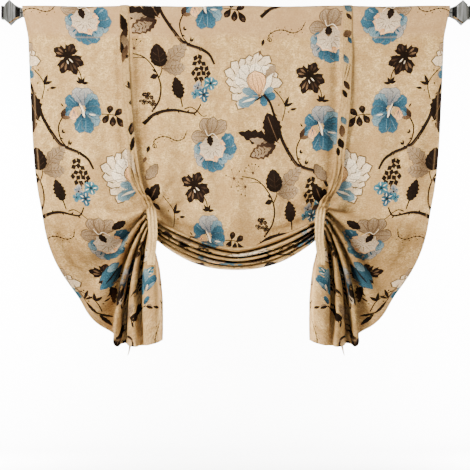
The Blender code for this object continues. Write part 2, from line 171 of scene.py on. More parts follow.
def ease(share):
    share = np.clip(share, 0.0, 1.0)
    return share * share * (3 - 2 * share)


def through_three(start, middle, end, share):
    """A smooth run from start to end that passes middle at MIDDLE_SHARE."""
    m = MIDDLE_SHARE
    bend = (middle - (1 - m) ** 2 * start - m * m * end) / (2 * m * (1 - m))
    return (1 - share) ** 2 * start + 2 * share * (1 - share) * bend + share**2 * end


def along_width(out, centre, inner, outer, middle, edge, power):
    """A value at this distance from the middle of the flat cloth, from its values at five places."""
    if out <= TIE_INNER:
        return centre + (inner - centre) * (out / TIE_INNER) ** power
    if out < TIE_OUTER:
        return inner + (outer - inner) * (out - TIE_INNER) / (TIE_OUTER - TIE_INNER)
    return through_three(outer, middle, edge, (out - TIE_OUTER) / (HALF_WIDTH - TIE_OUTER))


def depth_along(row, out):
    """A depth at this distance from the middle, from a row's centre, tie, middle and edge."""
    return along_width(out, row.centre, row.tie, row.tie, row.middle, row.edge, SWAG_DEPTH_POWER)


def line_point(index, out):
    """Where a line between folds lies at this distance from the middle of the flat cloth."""
    line = FOLD_LINES[index]
    x = along_width(out, 0.0, line.inner_x, line.outer_x, line.middle_x, line.edge_x, 1.0)
    drops = (line.centre_drop, line.inner_drop, line.outer_drop, line.middle_drop, line.edge_drop)
    return np.array([x, depth_along(LINE_BACKS[index], out), -along_width(out, *drops, line.rise)])


def from_tie(out):
    """0 at the tie and 1 at the side edge."""
    return max(0.0, (out - TIE_OUTER) / (HALF_WIDTH - TIE_OUTER))


def fold_profile(width, depth, flat):
    """(along, out) of a fold from valley to valley."""
    length = math.hypot(width, LENGTH_FOR_DEPTH * depth)
    ratio = width / length
    valley, crest, flat = VALLEY_TURN * ratio, CREST_TURN * ratio, flat * ratio
    shrink = min(1.0, LONGEST_TURN / (2 * (valley + crest) + flat))
    valley, crest, half_flat = valley * shrink, crest * shrink, flat * shrink / 2
    wall_end = 0.5 - half_flat - crest
    turns = (0, valley, wall_end, 0.5 - half_flat, 0.5 + half_flat, 1 - wall_end, 1 - valley, 1)
    share = np.linspace(0, 1, FINE_STEPS + 1)
    lean = np.interp(share, turns, (0, 1, 1, 0, 0, -1, -1, 0))
    low, high = 0.0, STEEPEST
    for _ in range(TURN_SEARCH):
        steepest = (low + high) / 2
        if np.cos(steepest * lean).mean() > ratio:
            low = steepest
        else:
            high = steepest
    middle = (lean[1:] + lean[:-1]) / 2 * steepest
    along = np.concatenate([[0], np.cumsum(np.cos(middle))])
    out = np.concatenate([[0], np.cumsum(np.sin(middle))])
    along *= width / along[-1]
    return along, (out - share * out[-1]) * depth / out.max()


def fold_points(index, out):
    """One fold, finely, from its upper line to just before its lower one."""
    fold = FOLDS[index]
    start, end = line_point(index, out), line_point(index + 1, out)
    along = (end - start) * (1, 0, 1)
    width = np.linalg.norm(along)
    side = np.array([-along[2], 0.0, along[0]]) / width
    flat = fold.flat * min(1.0, FLAT_ONSET * from_tie(out))
    runs, heights = fold_profile(width, depth_along(fold, out), flat)
    share = runs / width
    bow = fold.bow * from_tie(out) ** 2 * 4 * share * (1 - share)
    points = start + np.outer(share, end - start) + np.outer(bow, side)
    points[:, 1] = start[1] + (end[1] - start[1]) * share**2 * (3 - 2 * share) - heights
    points[:, 2] -= depth_along(CREST_SAG, out) * heights
    return points[:-1]


def ripple(u, share):
    """How far the soft upright folds of the field stand out at this place."""
    growth = RIPPLE_AT_TOP + (1 - RIPPLE_AT_TOP) * share**2
    wave = math.cos(2 * math.pi * u / RIPPLE_LENGTH)
    wave += WIDE_RIPPLE * math.sin(2 * math.pi * u / WIDE_RIPPLE_LENGTH + WIDE_RIPPLE_START)
    return RIPPLE_HEIGHT * growth * wave * ease(share * RIPPLE_ONSET)


def drawn_in(share):
    """How much of its final narrowing the cloth has at this share of the field's height."""
    return sum(amount * share**power for power, amount in DRAWN_IN)


def field_points(u):
    """The flat field at this column, finely, from the pocket's seam down to the first fold line."""
    out = abs(u)
    end = line_point(0, out)
    share = np.arange(FINE_STEPS) / FINE_STEPS
    turn = ease((share - 1 + FIELD_TURN) / FIELD_TURN)
    flat = FIELD_BACK - ripple(u, share)
    x = out + (end[0] - out) * drawn_in(share)
    drop = POCKET_DROP + (-end[2] - POCKET_DROP) * share
    return np.stack([x, flat + (end[1] - flat) * turn, -drop], axis=1)


def pocket_reach(u, angle):
    """How far the pocket's cloth is from the rod's centre line, at this angle around it from the back."""
    slack = POCKET_SLACK * (1 - POCKET_UNEVEN + POCKET_UNEVEN * math.cos(2 * math.pi * u / SLACK_LENGTH))
    return ROD_RADIUS + POCKET_GAP + CLOTH_THICKNESS / 2 + slack * max(0.0, math.sin(angle)) ** 2


def pocket_points(u):
    """The pocket at this column: from the hem behind the seam, up, over the rod and down in front."""
    out = abs(u)
    seam_x = (line_point(0, out)[0] - out) * drawn_in(0)
    points = [(out + seam_x, FIELD_BACK + CLOTH_THICKNESS + FLAP_GAP, -POCKET_DROP - HEM_BELOW_SEAM)]
    for step in range(POCKET_STEPS + 1):
        angle = math.radians(POCKET_START + POCKET_TURN * step / POCKET_STEPS)
        reach = pocket_reach(u, angle)
        drop = -reach * math.sin(angle)
        x = out + seam_x * (drop + ROD_RADIUS) / (POCKET_DROP + ROD_RADIUS)
        points.append((x, reach * math.cos(angle), -drop))
    return np.array(points)


def softened(points, softness):
    """A run of points with its creases softened, by this many metres at each point."""
    arc = np.concatenate([[0], np.cumsum(np.linalg.norm(np.diff(points, axis=0), axis=1))])
    even = np.linspace(0, arc[-1], round(arc[-1] / SOFT_STEP) + 1)
    line = np.array([np.interp(even, arc, axis) for axis in points.T]).T
    reach = np.interp(even, arc, softness)[1:-1, None]
    weight = np.clip(reach**2 / (SOFT_ROUNDS * SOFT_STEP**2), 0, MOST_SOFTENING)
    for _ in range(SOFT_ROUNDS):
        line[1:-1] += weight * ((line[:-2] + line[2:]) / 2 - line[1:-1])
    return np.array([np.interp(arc, even, axis) for axis in line.T]).T


def column_points(u):
    """The cloth's middle surface at one column, finely, from the pocket's hem to the bottom hem."""
    out = abs(u)
    field = field_points(u)
    runs, softness = [field], [np.full(len(field), FIELD_SOFTNESS)]
    for index, fold in enumerate(FOLDS):
        run = fold_points(index, out)
        runs.append(run)
        softness.append(np.full(len(run), fold.softness * from_tie(out) ** 0.5))
    line = np.concatenate(runs + [line_point(len(FOLDS), out)[None]])
    softness = np.concatenate(softness + [[0.0]])
    softness[: len(field)] *= np.linspace(0, 1, len(field)) ** 3 * from_tie(out) ** 0.5
    points = np.concatenate([pocket_points(u), softened(line, softness)])
    points[:, 0] *= math.copysign(1.0, u)
    return points


# The hung cloth as worked-out columns: their places across, their points, and v at each point
Hung = namedtuple("Hung", "across points along")


def hang_cloth():
    half = [np.zeros(1)]
    for start, end in ((0, TIE_INNER), (TIE_INNER, TIE_OUTER), (TIE_OUTER, HALF_WIDTH)):
        half.append(np.linspace(start, end, round((end - start) / COLUMN_STEP) + 1)[1:])
    half = np.concatenate(half)
    across = np.concatenate([-half[:0:-1], half])
    points = np.array([column_points(u) for u in across])
    steps = np.linalg.norm(np.diff(points, axis=1), axis=2)
    along = np.concatenate([np.zeros((len(across), 1)), np.cumsum(steps, axis=1)], axis=1)
    return Hung(across, points, along)


HUNG = hang_cloth()
POCKET_POINTS = POCKET_STEPS + 2  # of a column's points, up to the seam under the rod
SEAM_V = float(HUNG.along[:, POCKET_POINTS].mean())
FOLDS_V = float(HUNG.along[:, POCKET_POINTS + FINE_STEPS].min())


def hem_v(u):
    """v of the bottom hem at this place across the flat cloth."""
    return np.interp(u, HUNG.across, HUNG.along[:, -1])


def hung_place(u, v):
    """Where these places of the flat cloth hang, on its middle surface."""
    u, v = np.asarray(u, float), np.asarray(v, float)
    left = np.clip(np.searchsorted(HUNG.across, u, side="right") - 1, 0, len(HUNG.across) - 2)
    gap = HUNG.across[left + 1] - HUNG.across[left]
    share = np.clip((u - HUNG.across[left]) / gap, 0, 1)
    numbers = np.arange(HUNG.points.shape[1])
    places = np.empty((len(u), 3))
    for i in np.unique(left):
        here = left == i
        right_share = share[here]
        number = (1 - right_share) * np.interp(v[here], HUNG.along[i], numbers)
        number += right_share * np.interp(v[here], HUNG.along[i + 1], numbers)
        low = np.minimum(number.astype(int), len(numbers) - 2)
        part = (number - low)[:, None]
        ends = [HUNG.points[j, low] * (1 - part) + HUNG.points[j, low + 1] * part for j in (i, i + 1)]
        places[here] = ends[0] * (1 - right_share[:, None]) + ends[1] * right_share[:, None]
    return places


def hung_with_normals(u, v):
    """Where these places hang, with the small creases, and which way the printed face looks there."""
    v_end = hem_v(u)
    u_low, u_high = np.maximum(u - NORMAL_STEP, -HALF_WIDTH), np.minimum(u + NORMAL_STEP, HALF_WIDTH)
    v_low, v_high = np.maximum(v - NORMAL_STEP, 0.0), np.minimum(v + NORMAL_STEP, v_end)
    places = hung_place(u, v)
    along_u = (hung_place(u_high, v) - hung_place(u_low, v)) / (u_high - u_low)[:, None]
    along_v = (hung_place(u, v_high) - hung_place(u, v_low)) / (v_high - v_low)[:, None]
    normals = unit(np.cross(along_v, along_u))
    crease = crease_height(u, v)
    along_u += normals * ((crease_height(u_high, v) - crease_height(u_low, v)) / (u_high - u_low))[:, None]
    along_v += normals * ((crease_height(u, v_high) - crease_height(u, v_low)) / (v_high - v_low))[:, None]
    places += normals * crease[:, None]
    return places, unit(np.cross(along_v, along_u))


def unit(vectors):
    return vectors / np.maximum(np.linalg.norm(vectors, axis=1, keepdims=True), TINY)


def front_tree():
    """A tree of the hung cloth for looking at it from the front, and the columns' spacing in it."""
    rows = HUNG.points.shape[1]
    picked = np.arange(0, rows, 2)
    points = HUNG.points[:, picked].reshape(-1, 3)
    count = len(picked)
    faces = [
        (i * count + j, i * count + j + 1, (i + 1) * count + j + 1, (i + 1) * count + j)
        for i in range(len(HUNG.across) - 1)
        for j in range(count - 1)
    ]
    return BVHTree.FromPolygons(points.tolist(), faces), picked


FRONT_TREE, FRONT_ROWS = front_tree()


def flat_place(x, z):
    """(u, v) of the cloth that shows from the front at this place, or None beside the cloth."""
    hit, _, face, _ = FRONT_TREE.ray_cast(Vector((x, -1.0, z)), Vector((0, 1, 0)))
    if hit is None:
        return None
    column, row = divmod(face, len(FRONT_ROWS) - 1)
    row = FRONT_ROWS[row]
    corner = HUNG.points[column, row]
    next_row = min(row + 2, HUNG.points.shape[1] - 1)
    sides = np.array([HUNG.points[column + 1, row] - corner, HUNG.points[column, next_row] - corner]).T
    shares = np.clip(np.linalg.lstsq(sides, np.array(hit) - corner, rcond=None)[0], 0, 1)
    u = HUNG.across[column] + shares[0] * (HUNG.across[column + 1] - HUNG.across[column])
    v = HUNG.along[column, row] + shares[1] * (HUNG.along[column, next_row] - HUNG.along[column, row])
    return np.array([u, v])


def drawn_place(across, down):
    """(x, z) of a place on the drawing."""
    return (across - DRAWING_MIDDLE[0]) * DRAWING_STEP, -(down - DRAWING_MIDDLE[1]) * DRAWING_STEP


# Small creases: from one place on the drawing to another, with their width and height in millimetres. A
# height below zero is a trough. Each is there on both sides, in mirror image.
CREASES = (
    (136.5, 42, 138.5, 120, 9, -4.0),
    (139.0, 112, 145.5, 192, 9, -5.5),
    (117.5, 40, 118.5, 130, 8, -2.2),
    (119.0, 120, 130.0, 186, 8, -3.0),
    (158.0, 206, 178.0, 176, 9, -4.5),
    (162.0, 211, 190.0, 199, 8, -3.0),
    (162.0, 217, 205.0, 232, 8, -3.0),
    (170.0, 192, 186.0, 158, 14, 2.6),
    (139.0, 202, 112.0, 186, 9, -3.5),
    (138.0, 210, 106.0, 207, 9, -3.0),
    (130.0, 192, 121.0, 166, 9, -2.5),
    (58.0, 226, 78.0, 266, 14, -5.0),
    (72.0, 222, 92.0, 250, 12, 2.5),
    (50.0, 200, 60.0, 232, 13, 2.5),
    (96.0, 316, 113.0, 300, 8, -2.5),
    (142.0, 312, 143.0, 344, 5, -1.8),
    (145.8, 212, 145.2, 258, 5, -2.6),
    (158.8, 220, 160.0, 236, 5, -3.2),
    (37.0, 60, 41.0, 140, 14, 2.2),
    (46.0, 120, 52.0, 190, 14, -2.4),
    (92.0, 130, 104.0, 190, 16, 2.4),
)
CREASE_END = 0.08  # of a half wave: how abruptly a crease starts and ends


def flat_runs(rows):
    """Rows between two places on the drawing, on both sides, as their ends on the flat cloth and the row."""
    made = []
    for row in rows:
        for side in (1, -1):
            ends = []
            for across, down in (row[:2], row[2:4]):
                x, z = drawn_place(across, down)
                ends.append(flat_place(side * x, z))
            if ends[0] is not None and ends[1] is not None:
                made.append((*ends, row))
    return made


FLAT_CREASES = flat_runs(CREASES)


def beside_run(u, v, start, end):
    """How far along the straight run from start to end these flat places are, and how far beside it."""
    run = end - start
    du, dv = u - start[0], v - start[1]
    share = np.clip((du * run[0] + dv * run[1]) / run.dot(run), 0, 1)
    return share, np.hypot(du - share * run[0], dv - share * run[1])


def crease_height(u, v):
    """How far the small creases stand out from the cloth at these flat places."""
    total = np.zeros(len(u))
    for start, end, (*_, width, height) in FLAT_CREASES:
        share, off = beside_run(u, v, start, end)
        profile = np.exp(-((off / (width / 1000)) ** 2))
        ends = np.sin(math.pi * (CREASE_END + (1 - 2 * CREASE_END) * share)) ** 0.5
        total += height / 1000 * profile * ends
    return total


# Where the cloth is drawn together, light hardly reaches: v there, and how far across and along that shows
TIE_MIDDLE = (TIE_INNER + TIE_OUTER) / 2
GATHER_V = float(FOLDS_V) - 0.012
GATHER_SPREAD = (0.022, 0.040)
SHADED_TROUGH = 0.0048
LOWER_SHADE = 0.26  # of the folded cloth
LOWER_ONSET = 0.06
EAR_SHADE = 0.42
EAR_FADES = (0.05, 0.10, 0.22)  # how far it takes to fade in: beyond the tie, downwards, and up from the hem

# Soft shadows of the knots, straps and deep folds: from one place on the drawing to another, with their
# width in steps and how dark they are. Each is there on both sides, in mirror image.
FLAT_SHADOWS = flat_runs((
    (136.8, 40, 138.8, 115, 4.6, 0.62),
    (139.2, 108, 146.0, 190, 5.6, 0.85),
    (117.5, 50, 119.0, 150, 1.8, 0.35),
    (119.5, 140, 133.0, 194, 2.6, 0.50),
    (166, 184, 168, 199, 5.0, 0.50),
    (144.2, 210, 143.6, 262, 2.6, 0.80),
    (146.0, 236, 146.0, 264, 2.6, 0.60),
    (160.0, 210, 161.0, 240, 3.0, 0.75),
    (157.5, 240, 156.5, 262, 1.8, 0.50),
    (147, 266, 156, 266, 2.4, 0.40),
    (133, 231, 100, 262, 9.0, 0.45),
    (60, 232, 84, 260, 6.0, 0.32),
    (118, 208, 141, 206, 6.0, 0.40),
    (128, 240, 122, 290, 4.0, 0.45),
))


def shade_at(u, v):
    """How shaded the cloth is by its own gathers, folds and small troughs, from 0 to 1."""
    across = (abs(u) - TIE_MIDDLE) / GATHER_SPREAD[0]
    along = (v - GATHER_V) / GATHER_SPREAD[1]
    gather = np.exp(-(across**2) - along**2)
    for start, end, (*_, width, depth) in FLAT_SHADOWS:
        _, off = beside_run(u, v, start, end)
        gather = np.maximum(gather, depth * np.exp(-((off / (width * DRAWING_STEP)) ** 2)))
    low = LOWER_SHADE * ease((v - FOLDS_V) / LOWER_ONSET)
    beyond, down, up = EAR_FADES
    ear = ease((abs(u) - TIE_OUTER) / beyond) * ease((v - FOLDS_V) / down) * ease((hem_v(u) - v) / up)
    deepest = np.maximum(gather, -crease_height(u, v) / SHADED_TROUGH)
    return np.clip(deepest + low + EAR_SHADE * ear, 0, 1)


def lattice(fine_field, outlines=None):
    """The flat places of the cloth's inner mesh points, closer together where the cloth folds or is creased,
    and left out where these outline points lie close enough together."""
    columns = round(HALF_WIDTH / MESH_STEP)
    rows = round(HUNG.along[:, -1].max() / MESH_STEP)
    i, j = np.meshgrid(np.arange(-columns + 1, columns), np.arange(1, rows))
    i, j = i.ravel(), j.ravel()
    u, v = i * MESH_STEP, j * MESH_STEP
    folded = (v > FOLDS_V - ABOVE_FOLDS) | (v < SEAM_V + BELOW_SEAM)
    near = (v > FOLDS_V - ABOVE_FOLDS) & (abs(abs(u) - TIE_MIDDLE) < NEAR_TIE)
    keep = near | (folded & (i % 2 == 0)) | ((i % 2 == 0) & (j % 2 == 0) & fine_field)
    keep |= (i % 4 == 0) & (j % 4 == 0)
    crease = crease_height(u, v)
    keep |= (fine_field & (abs(crease) > CREASE_TO_MESH)) | (crease < -DEEP_TROUGH)
    keep &= v < hem_v(u) - ABOVE_HEM * MESH_STEP
    if outlines is not None:
        cells = np.zeros((2 * columns + 1, rows + 2))
        across, down = (np.round(outlines / MESH_STEP) + (columns, 0)).astype(int).T
        inside = (across >= 0) & (across < cells.shape[0]) & (down >= 0) & (down < cells.shape[1])
        np.add.at(cells, (across[inside], down[inside]), 1)
        keep &= cells[i + columns, j] < ENOUGH_OUTLINE
    return np.stack([u[keep], v[keep]], axis=1)


def border():
    """The flat places around the cloth's edge, in order."""
    across = np.linspace(-HALF_WIDTH, HALF_WIDTH, 2 * round(HALF_WIDTH / MESH_STEP) + 1)
    left_end, right_end = float(hem_v(-HALF_WIDTH)), float(hem_v(HALF_WIDTH))
    side_steps = round(right_end / MESH_STEP)
    top = [(u, 0.0) for u in across[:-1:2]]
    right = [(HALF_WIDTH, v) for v in np.linspace(0, right_end, side_steps + 1)[:-1]]
    bottom = [(u, float(hem_v(u))) for u in across[:0:-1]]
    left = [(-HALF_WIDTH, v) for v in np.linspace(left_end, 0, side_steps + 1)[:-1]]
    return np.array(top + right + bottom + left)


def triangulated(points, edges):
    """The flat cloth as triangles through these places, with these edges kept. Gives both."""
    made = delaunay_2d_cdt([Vector(p) for p in points.tolist()], edges, [], 0, SAME_PLACE, False)
    flat = np.array([tuple(p) for p in made[0]])
    faces = np.array(made[2])
    middle = flat[faces].mean(axis=1)
    inside = (abs(middle[:, 0]) < HALF_WIDTH) & (middle[:, 1] > 0) & (middle[:, 1] < hem_v(middle[:, 0]))
    faces = faces[inside]
    used, faces = np.unique(faces, return_inverse=True)
    faces = faces.reshape(-1, 3)
    flat = flat[used]
    a, b, c = flat[faces[:, 0]], flat[faces[:, 1]], flat[faces[:, 2]]
    area = (b[:, 0] - a[:, 0]) * (c[:, 1] - a[:, 1]) - (b[:, 1] - a[:, 1]) * (c[:, 0] - a[:, 0])
    faces[area > 0] = faces[area > 0][:, ::-1]
    return flat, faces[abs(area) > TINY]


# One printed shape on the flat cloth: its outline, its colours at origin and a reach away from it, and how
# much of the cloth's own colour it covers
Shape = namedtuple("Shape", "points base tip origin reach cover")


def owners(places, shapes):
    """The number of the last shape that each of these flat places lies in, or -1."""
    owner = np.full(len(places), -1)
    order = np.argsort(places[:, 0])
    sorted_u = places[order, 0]
    for number, shape in enumerate(shapes):
        low, high = shape.points.min(axis=0), shape.points.max(axis=0)
        first, last = np.searchsorted(sorted_u, (low[0], high[0]))
        near = order[first:last]
        near = near[(places[near, 1] > low[1]) & (places[near, 1] < high[1])]
        if len(near):
            owner[near[inside_outline(places[near], shape.points)]] = number
    return owner


def print_on(flat, faces, shapes):
    """The print's colour at each corner of each triangle, with its cover as alpha."""
    colours = np.zeros((len(faces), 3, 4))
    owner = owners(flat[faces].mean(axis=1), shapes)
    printed = owner >= 0
    if not printed.any():
        return colours
    origin, reach, base, tip, cover = (
        np.array([getattr(shape, field) for shape in shapes])[owner[printed]][:, None]
        for field in ("origin", "reach", "base", "tip", "cover")
    )
    corners = flat[faces[printed]] - origin
    squared = np.maximum((reach**2).sum(axis=2), TINY)
    share = np.clip((corners * reach).sum(axis=2) / squared, 0, 1)[:, :, None]
    colours[printed, :, :3] = base + (tip - base) * share
    colours[printed, :, 3] = cover
    return colours


def inside_outline(places, outline):
    """Which of these places lie inside a closed outline."""
    x, y = places[:, 0][:, None], places[:, 1][:, None]
    x0, y0 = outline[:, 0][None], outline[:, 1][None]
    x1, y1 = np.roll(x0, -1, axis=1), np.roll(y0, -1, axis=1)
    level = np.where(y1 == y0, TINY, y1 - y0)
    crosses = ((y0 > y) != (y1 > y)) & (x < (x1 - x0) * (y - y0) / level + x0)
    return crosses.sum(axis=1) % 2 == 1


def outline_edges(shapes, first):
    """All the shapes' outline points, and their edges as pairs of point numbers from first on."""
    points = np.concatenate([s.points for s in shapes])
    edges = []
    for shape in shapes:
        count = len(shape.points)
        edges += [(first + k, first + (k + 1) % count) for k in range(count)]
        first += count
    return points, edges


# The print's inks, as linear colours where a shape starts and where it ends, and its cover
Ink = namedtuple("Ink", "base tip cover")
DARK = Ink((0.005, 0.003, 0.002), (0.009, 0.005, 0.004), 1.0)
BROWN = Ink((0.012, 0.006, 0.004), (0.045, 0.023, 0.012), 1.0)
UMBER = Ink((0.05, 0.026, 0.013), (0.14, 0.078, 0.038), 1.0)
TAUPE = Ink((0.10, 0.062, 0.032), (0.26, 0.172, 0.095), 0.95)
RIB = Ink((0.045, 0.024, 0.013), (0.08, 0.045, 0.024), 0.90)
CREAM = Ink((0.32, 0.235, 0.14), (0.54, 0.42, 0.28), 0.95)
WHITE = Ink((0.58, 0.45, 0.29), (0.78, 0.66, 0.47), 0.88)
PEACH = Ink((0.46, 0.20, 0.075), (0.70, 0.39, 0.17), 0.85)
BLUE = Ink((0.008, 0.027, 0.042), (0.030, 0.090, 0.124), 1.0)
SKY = Ink((0.022, 0.070, 0.100), (0.140, 0.205, 0.215), 1.0)
RIM = Ink((0.010, 0.020, 0.026), (0.060, 0.085, 0.092), 0.90)
LILAC = Ink((0.055, 0.068, 0.085), (0.28, 0.26, 0.225), 0.95)
TEAL = Ink((0.006, 0.045, 0.07), (0.05, 0.155, 0.18), 1.0)
HAZE = Ink((0.48, 0.355, 0.21), (0.74, 0.58, 0.37), 0.76)
LINE = Ink((0.035, 0.020, 0.012), (0.06, 0.034, 0.020), 0.85)


def shape_of(points, ink, base, tip):
    base, tip = np.array(base, float), np.array(tip, float)
    return Shape(np.array(points, float), ink.base, ink.tip, base, tip - base, ink.cover)


def moved(shape, scale, place=(0.0, 0.0)):
    """A shape at another scale and place."""
    return shape._replace(
        points=shape.points * scale + place,
        origin=shape.origin * scale + place,
        reach=shape.reach * scale,
    )


def turned(way):
    """A flat direction turned by a right angle."""
    return np.array([-way[1], way[0]])


def leaf(base, tip, width, ink, teeth=0.0, widest=0.42, blunt=1.0, count=9):
    """A leaf or petal from base to tip. teeth is how deep its edge is cut, as a share of its width."""
    base, tip = np.array(base, float), np.array(tip, float)
    run = tip - base
    side = turned(run) / np.linalg.norm(run)
    share = np.linspace(0, 1, count)
    half = np.sin(math.pi * share ** (math.log(0.5) / math.log(widest))).clip(0) ** blunt * width / 2
    half[1:-1] *= 1 + teeth * np.where(np.arange(1, count - 1) % 2, 1, -1)
    right = base + np.outer(share, run) + np.outer(half, side)
    left = base + np.outer(share, run) - np.outer(half, side)
    return shape_of(np.concatenate([right, left[-2:0:-1]]), ink, base, tip)


def petal(base, tip, width, ink, ruffle=0.08):
    return leaf(base, tip, width, ink, ruffle, 0.64, 0.62)


def short_line(base, tip, width, ink):
    return leaf(base, tip, width, ink, 0.0, 0.5, 1.0, 4)


def dot(centre, radius, ink=DARK, sides=6):
    angles = np.arange(sides) * 2 * math.pi / sides
    ring = np.array(centre) + radius * np.column_stack([np.cos(angles), np.sin(angles)])
    return shape_of(ring, ink, centre, np.array(centre) + (radius, 0))


def disc(centre, radii, ink, lobes=9, depth=0.09, sides=27):
    """A rounded shape with a wavy edge."""
    angles = np.arange(sides) * 2 * math.pi / sides
    reach = 1 + depth * np.cos(lobes * angles)
    ring = np.column_stack([np.cos(angles) * radii[0], np.sin(angles) * radii[1]]) * reach[:, None]
    return shape_of(ring + centre, ink, (centre[0], centre[1] - radii[1]), (centre[0], centre[1] + radii[1]))


def smooth_rows(rows, steps_between):
    """More rows on a smooth curve through these, with this many steps from one to the next."""
    rows = np.array(rows, float)
    rows = np.vstack([2 * rows[0] - rows[1], rows, 2 * rows[-1] - rows[-2]])
    made = []
    for before, start, end, after in zip(rows, rows[1:], rows[2:], rows[3:]):
        steps = steps_between(start, end)
        bend = 2 * before - 5 * start + 4 * end - after
        swing = 3 * start - before - 3 * end + after
        for t in np.arange(steps) / steps:
            made.append(0.5 * (2 * start + (end - before) * t + bend * t**2 + swing * t**3))
    made.append(rows[-2])
    return np.array(made)


def smooth_line(points, steps):
    return smooth_rows(points, lambda start, end: steps)


def stem(points, start, end, ink=DARK, steps=3):
    """A stroke along these points, from one width to another."""
    line = smooth_line(points, steps)
    way = np.gradient(line, axis=0)
    side = np.column_stack([-way[:, 1], way[:, 0]]) / np.linalg.norm(way, axis=1)[:, None]
    half = np.linspace(start, end, len(line))[:, None] / 2
    return shape_of(np.concatenate([line + side * half, (line - side * half)[::-1]]), ink, line[0], line[-1])


def thorns(points, places, length=3.2):
    """Small thorns beside a stroke: each a share of its length, on alternating sides."""
    line = smooth_line(points, 4)
    way = np.gradient(line, axis=0)
    made = []
    for number, share in enumerate(places):
        k = min(int(share * len(line)), len(line) - 1)
        along = way[k] / np.linalg.norm(way[k])
        side = turned(along) * (1 if number % 2 else -1)
        made.append(leaf(line[k] - along, line[k] + side * length + along * 1.5, 1.8, DARK, 0.0, 0.3, 1.0, 4))
    return made


def polar(degrees, reach, centre=(0, 0)):
    """A place at this angle, clockwise from up, and distance from a centre."""
    angle = math.radians(degrees)
    return np.array([centre[0] + reach * math.sin(angle), centre[1] - reach * math.cos(angle)])


# The ring bloom's petals, as degrees, reach, width and ink, and its sepals, as their tips and widths
RING_PETALS = (
    (246, 20, 12, LILAC),
    (222, 22, 12, LILAC),
    (270, 19, 10, SKY),
    (112, 24, 11, SKY),
    (200, 22, 10, BLUE),
    (178, 24, 12, BLUE),
    (156, 24, 12, BLUE),
    (134, 21, 11, SKY),
    (92, 26, 13, BLUE),
    (66, 25, 14, BLUE),
    (286, 16, 7, BLUE),
)
SEPALS = ((-22, -12, 13), (15, -27, 13), (-9, -31, 13), (2, -32, 11))


def ring_bloom():
    """A bloom with a cream middle, a dark eye, ribbed sepals above and a ring of blue petals below."""
    hub = (-2, -12)
    made = []
    for x, y, width in SEPALS:
        tip = np.array([x, y], float)
        way = tip - hub
        made += [petal(hub, tip, width + 1.2, RIB, 0.0), petal(hub, tip * 0.97, width - 0.6, TAUPE, 0.0)]
        for sideways in (-0.22, 0.0, 0.24):
            off = turned(way) * sideways
            made.append(stem([hub, hub + way * 0.5 + off, hub + way * 0.86 + off * 0.5], 0.7, 0.4, RIB, 2))
    for degrees, reach, width, ink in RING_PETALS:
        base = polar(degrees, 7)
        made += [
            petal(base, polar(degrees, reach + 0.5), width + 1.2, RIM, 0.10),
            petal(base, polar(degrees, reach), width, ink, 0.10),
            leaf(polar(degrees - 5, 15), polar(degrees - 7, reach - 2), 2.2, SKY, 0.0, 0.6),
            leaf(polar(degrees + 8, 12), polar(degrees + 6, reach - 4), 1.6, BLUE, 0.0, 0.5),
        ]
    made += [
        disc((0.3, 0.5), (13.0, 12.0), PEACH),
        disc((-0.2, -0.3), (12.2, 11.2), CREAM),
        leaf((8, -6), (14, -3), 4, PEACH, 0.1),
        leaf((3, 7), (5, 14), 5, PEACH, 0.1),
    ]
    for degrees in (62, 98, 130, 162, 196, 228, 262):
        made.append(stem([polar(degrees, 4), polar(degrees + 7, 10.5)], 0.7, 0.4, TAUPE, 1))
    made.append(leaf((-3, -14), (-1, -2), 6.8, DARK, 0.12, 0.5))
    made.append(stem([(-7, -19), (-4, -13), (1, -15), (6, -10)], 0.9, 0.6, WHITE, 3))
    return made


CLUSTER_LEAVES = ((6, -13, 11), (-14, -7, 11), (16, 8, 11), (-7, 18, 11), (8.5, 18.5, 10))


def leaf_cluster():
    """Five toothed leaves round a stalk, with a sprig below them."""
    made = [stem([(-17, 40), (-11, 46), (-7, 53), (-5.6, 62)], 1.3, 1.0)]
    hub = np.array([-19.0, 36.0])
    for number, (x, y, width) in enumerate(CLUSTER_LEAVES):
        way = np.array([x, y], float)
        made.append(leaf(hub, hub + way, width, DARK, 0.13, 0.52, 0.8))
        for side in (-1, 1):
            off = turned(way) / np.linalg.norm(way) * side
            made.append(leaf(hub + way * 0.25, hub + way * 0.72 + off * width * 0.62, width * 0.42, DARK))
            low, high = hub + way * 0.3 + off * 0.8, hub + way * 0.76 + off * width * 0.22
            made.append(leaf(low, high, width * 0.20, UMBER if number % 2 else BROWN, 0.0, 0.6, 1.0, 6))
    made.append(leaf(hub + (1, 2), hub + (5, 6), 1.3, WHITE, 0.0, 0.5, 1.0, 6))
    made.append(leaf(hub + (-1, 4), hub + (0.5, 8), 1.2, WHITE, 0.0, 0.5, 1.0, 6))
    for x, y in ((-4.3, -7), (-6.2, -2.6), (2.8, -6.6), (7, -1.0)):
        made.append(leaf((-5.6, 62.5), (-5.6 + x, 62.5 + y), 2.9, DARK))
    return made


# The petals of the bloom seen from the side, from one place to another, with their width and ink
BLUE_BLOOM_PETALS = (
    (-9, 0, -9, 13, 9, PEACH),
    (-2, -2, -17, -9, 13, BLUE),
    (0, -2, -6, -20, 13, LILAC),
    (1, -2, 6, -20, 14, LILAC),
    (2, -2, 14, -13, 12, SKY),
    (2, -1, 17, -4, 13, BLUE),
    (2, 1, 18, 6, 13, BLUE),
    (2, 3, 15, 17, 13, SKY),
    (0, 4, -4, 25, 12, BLUE),
    (1, 4, 7, 25, 11, BLUE),
)


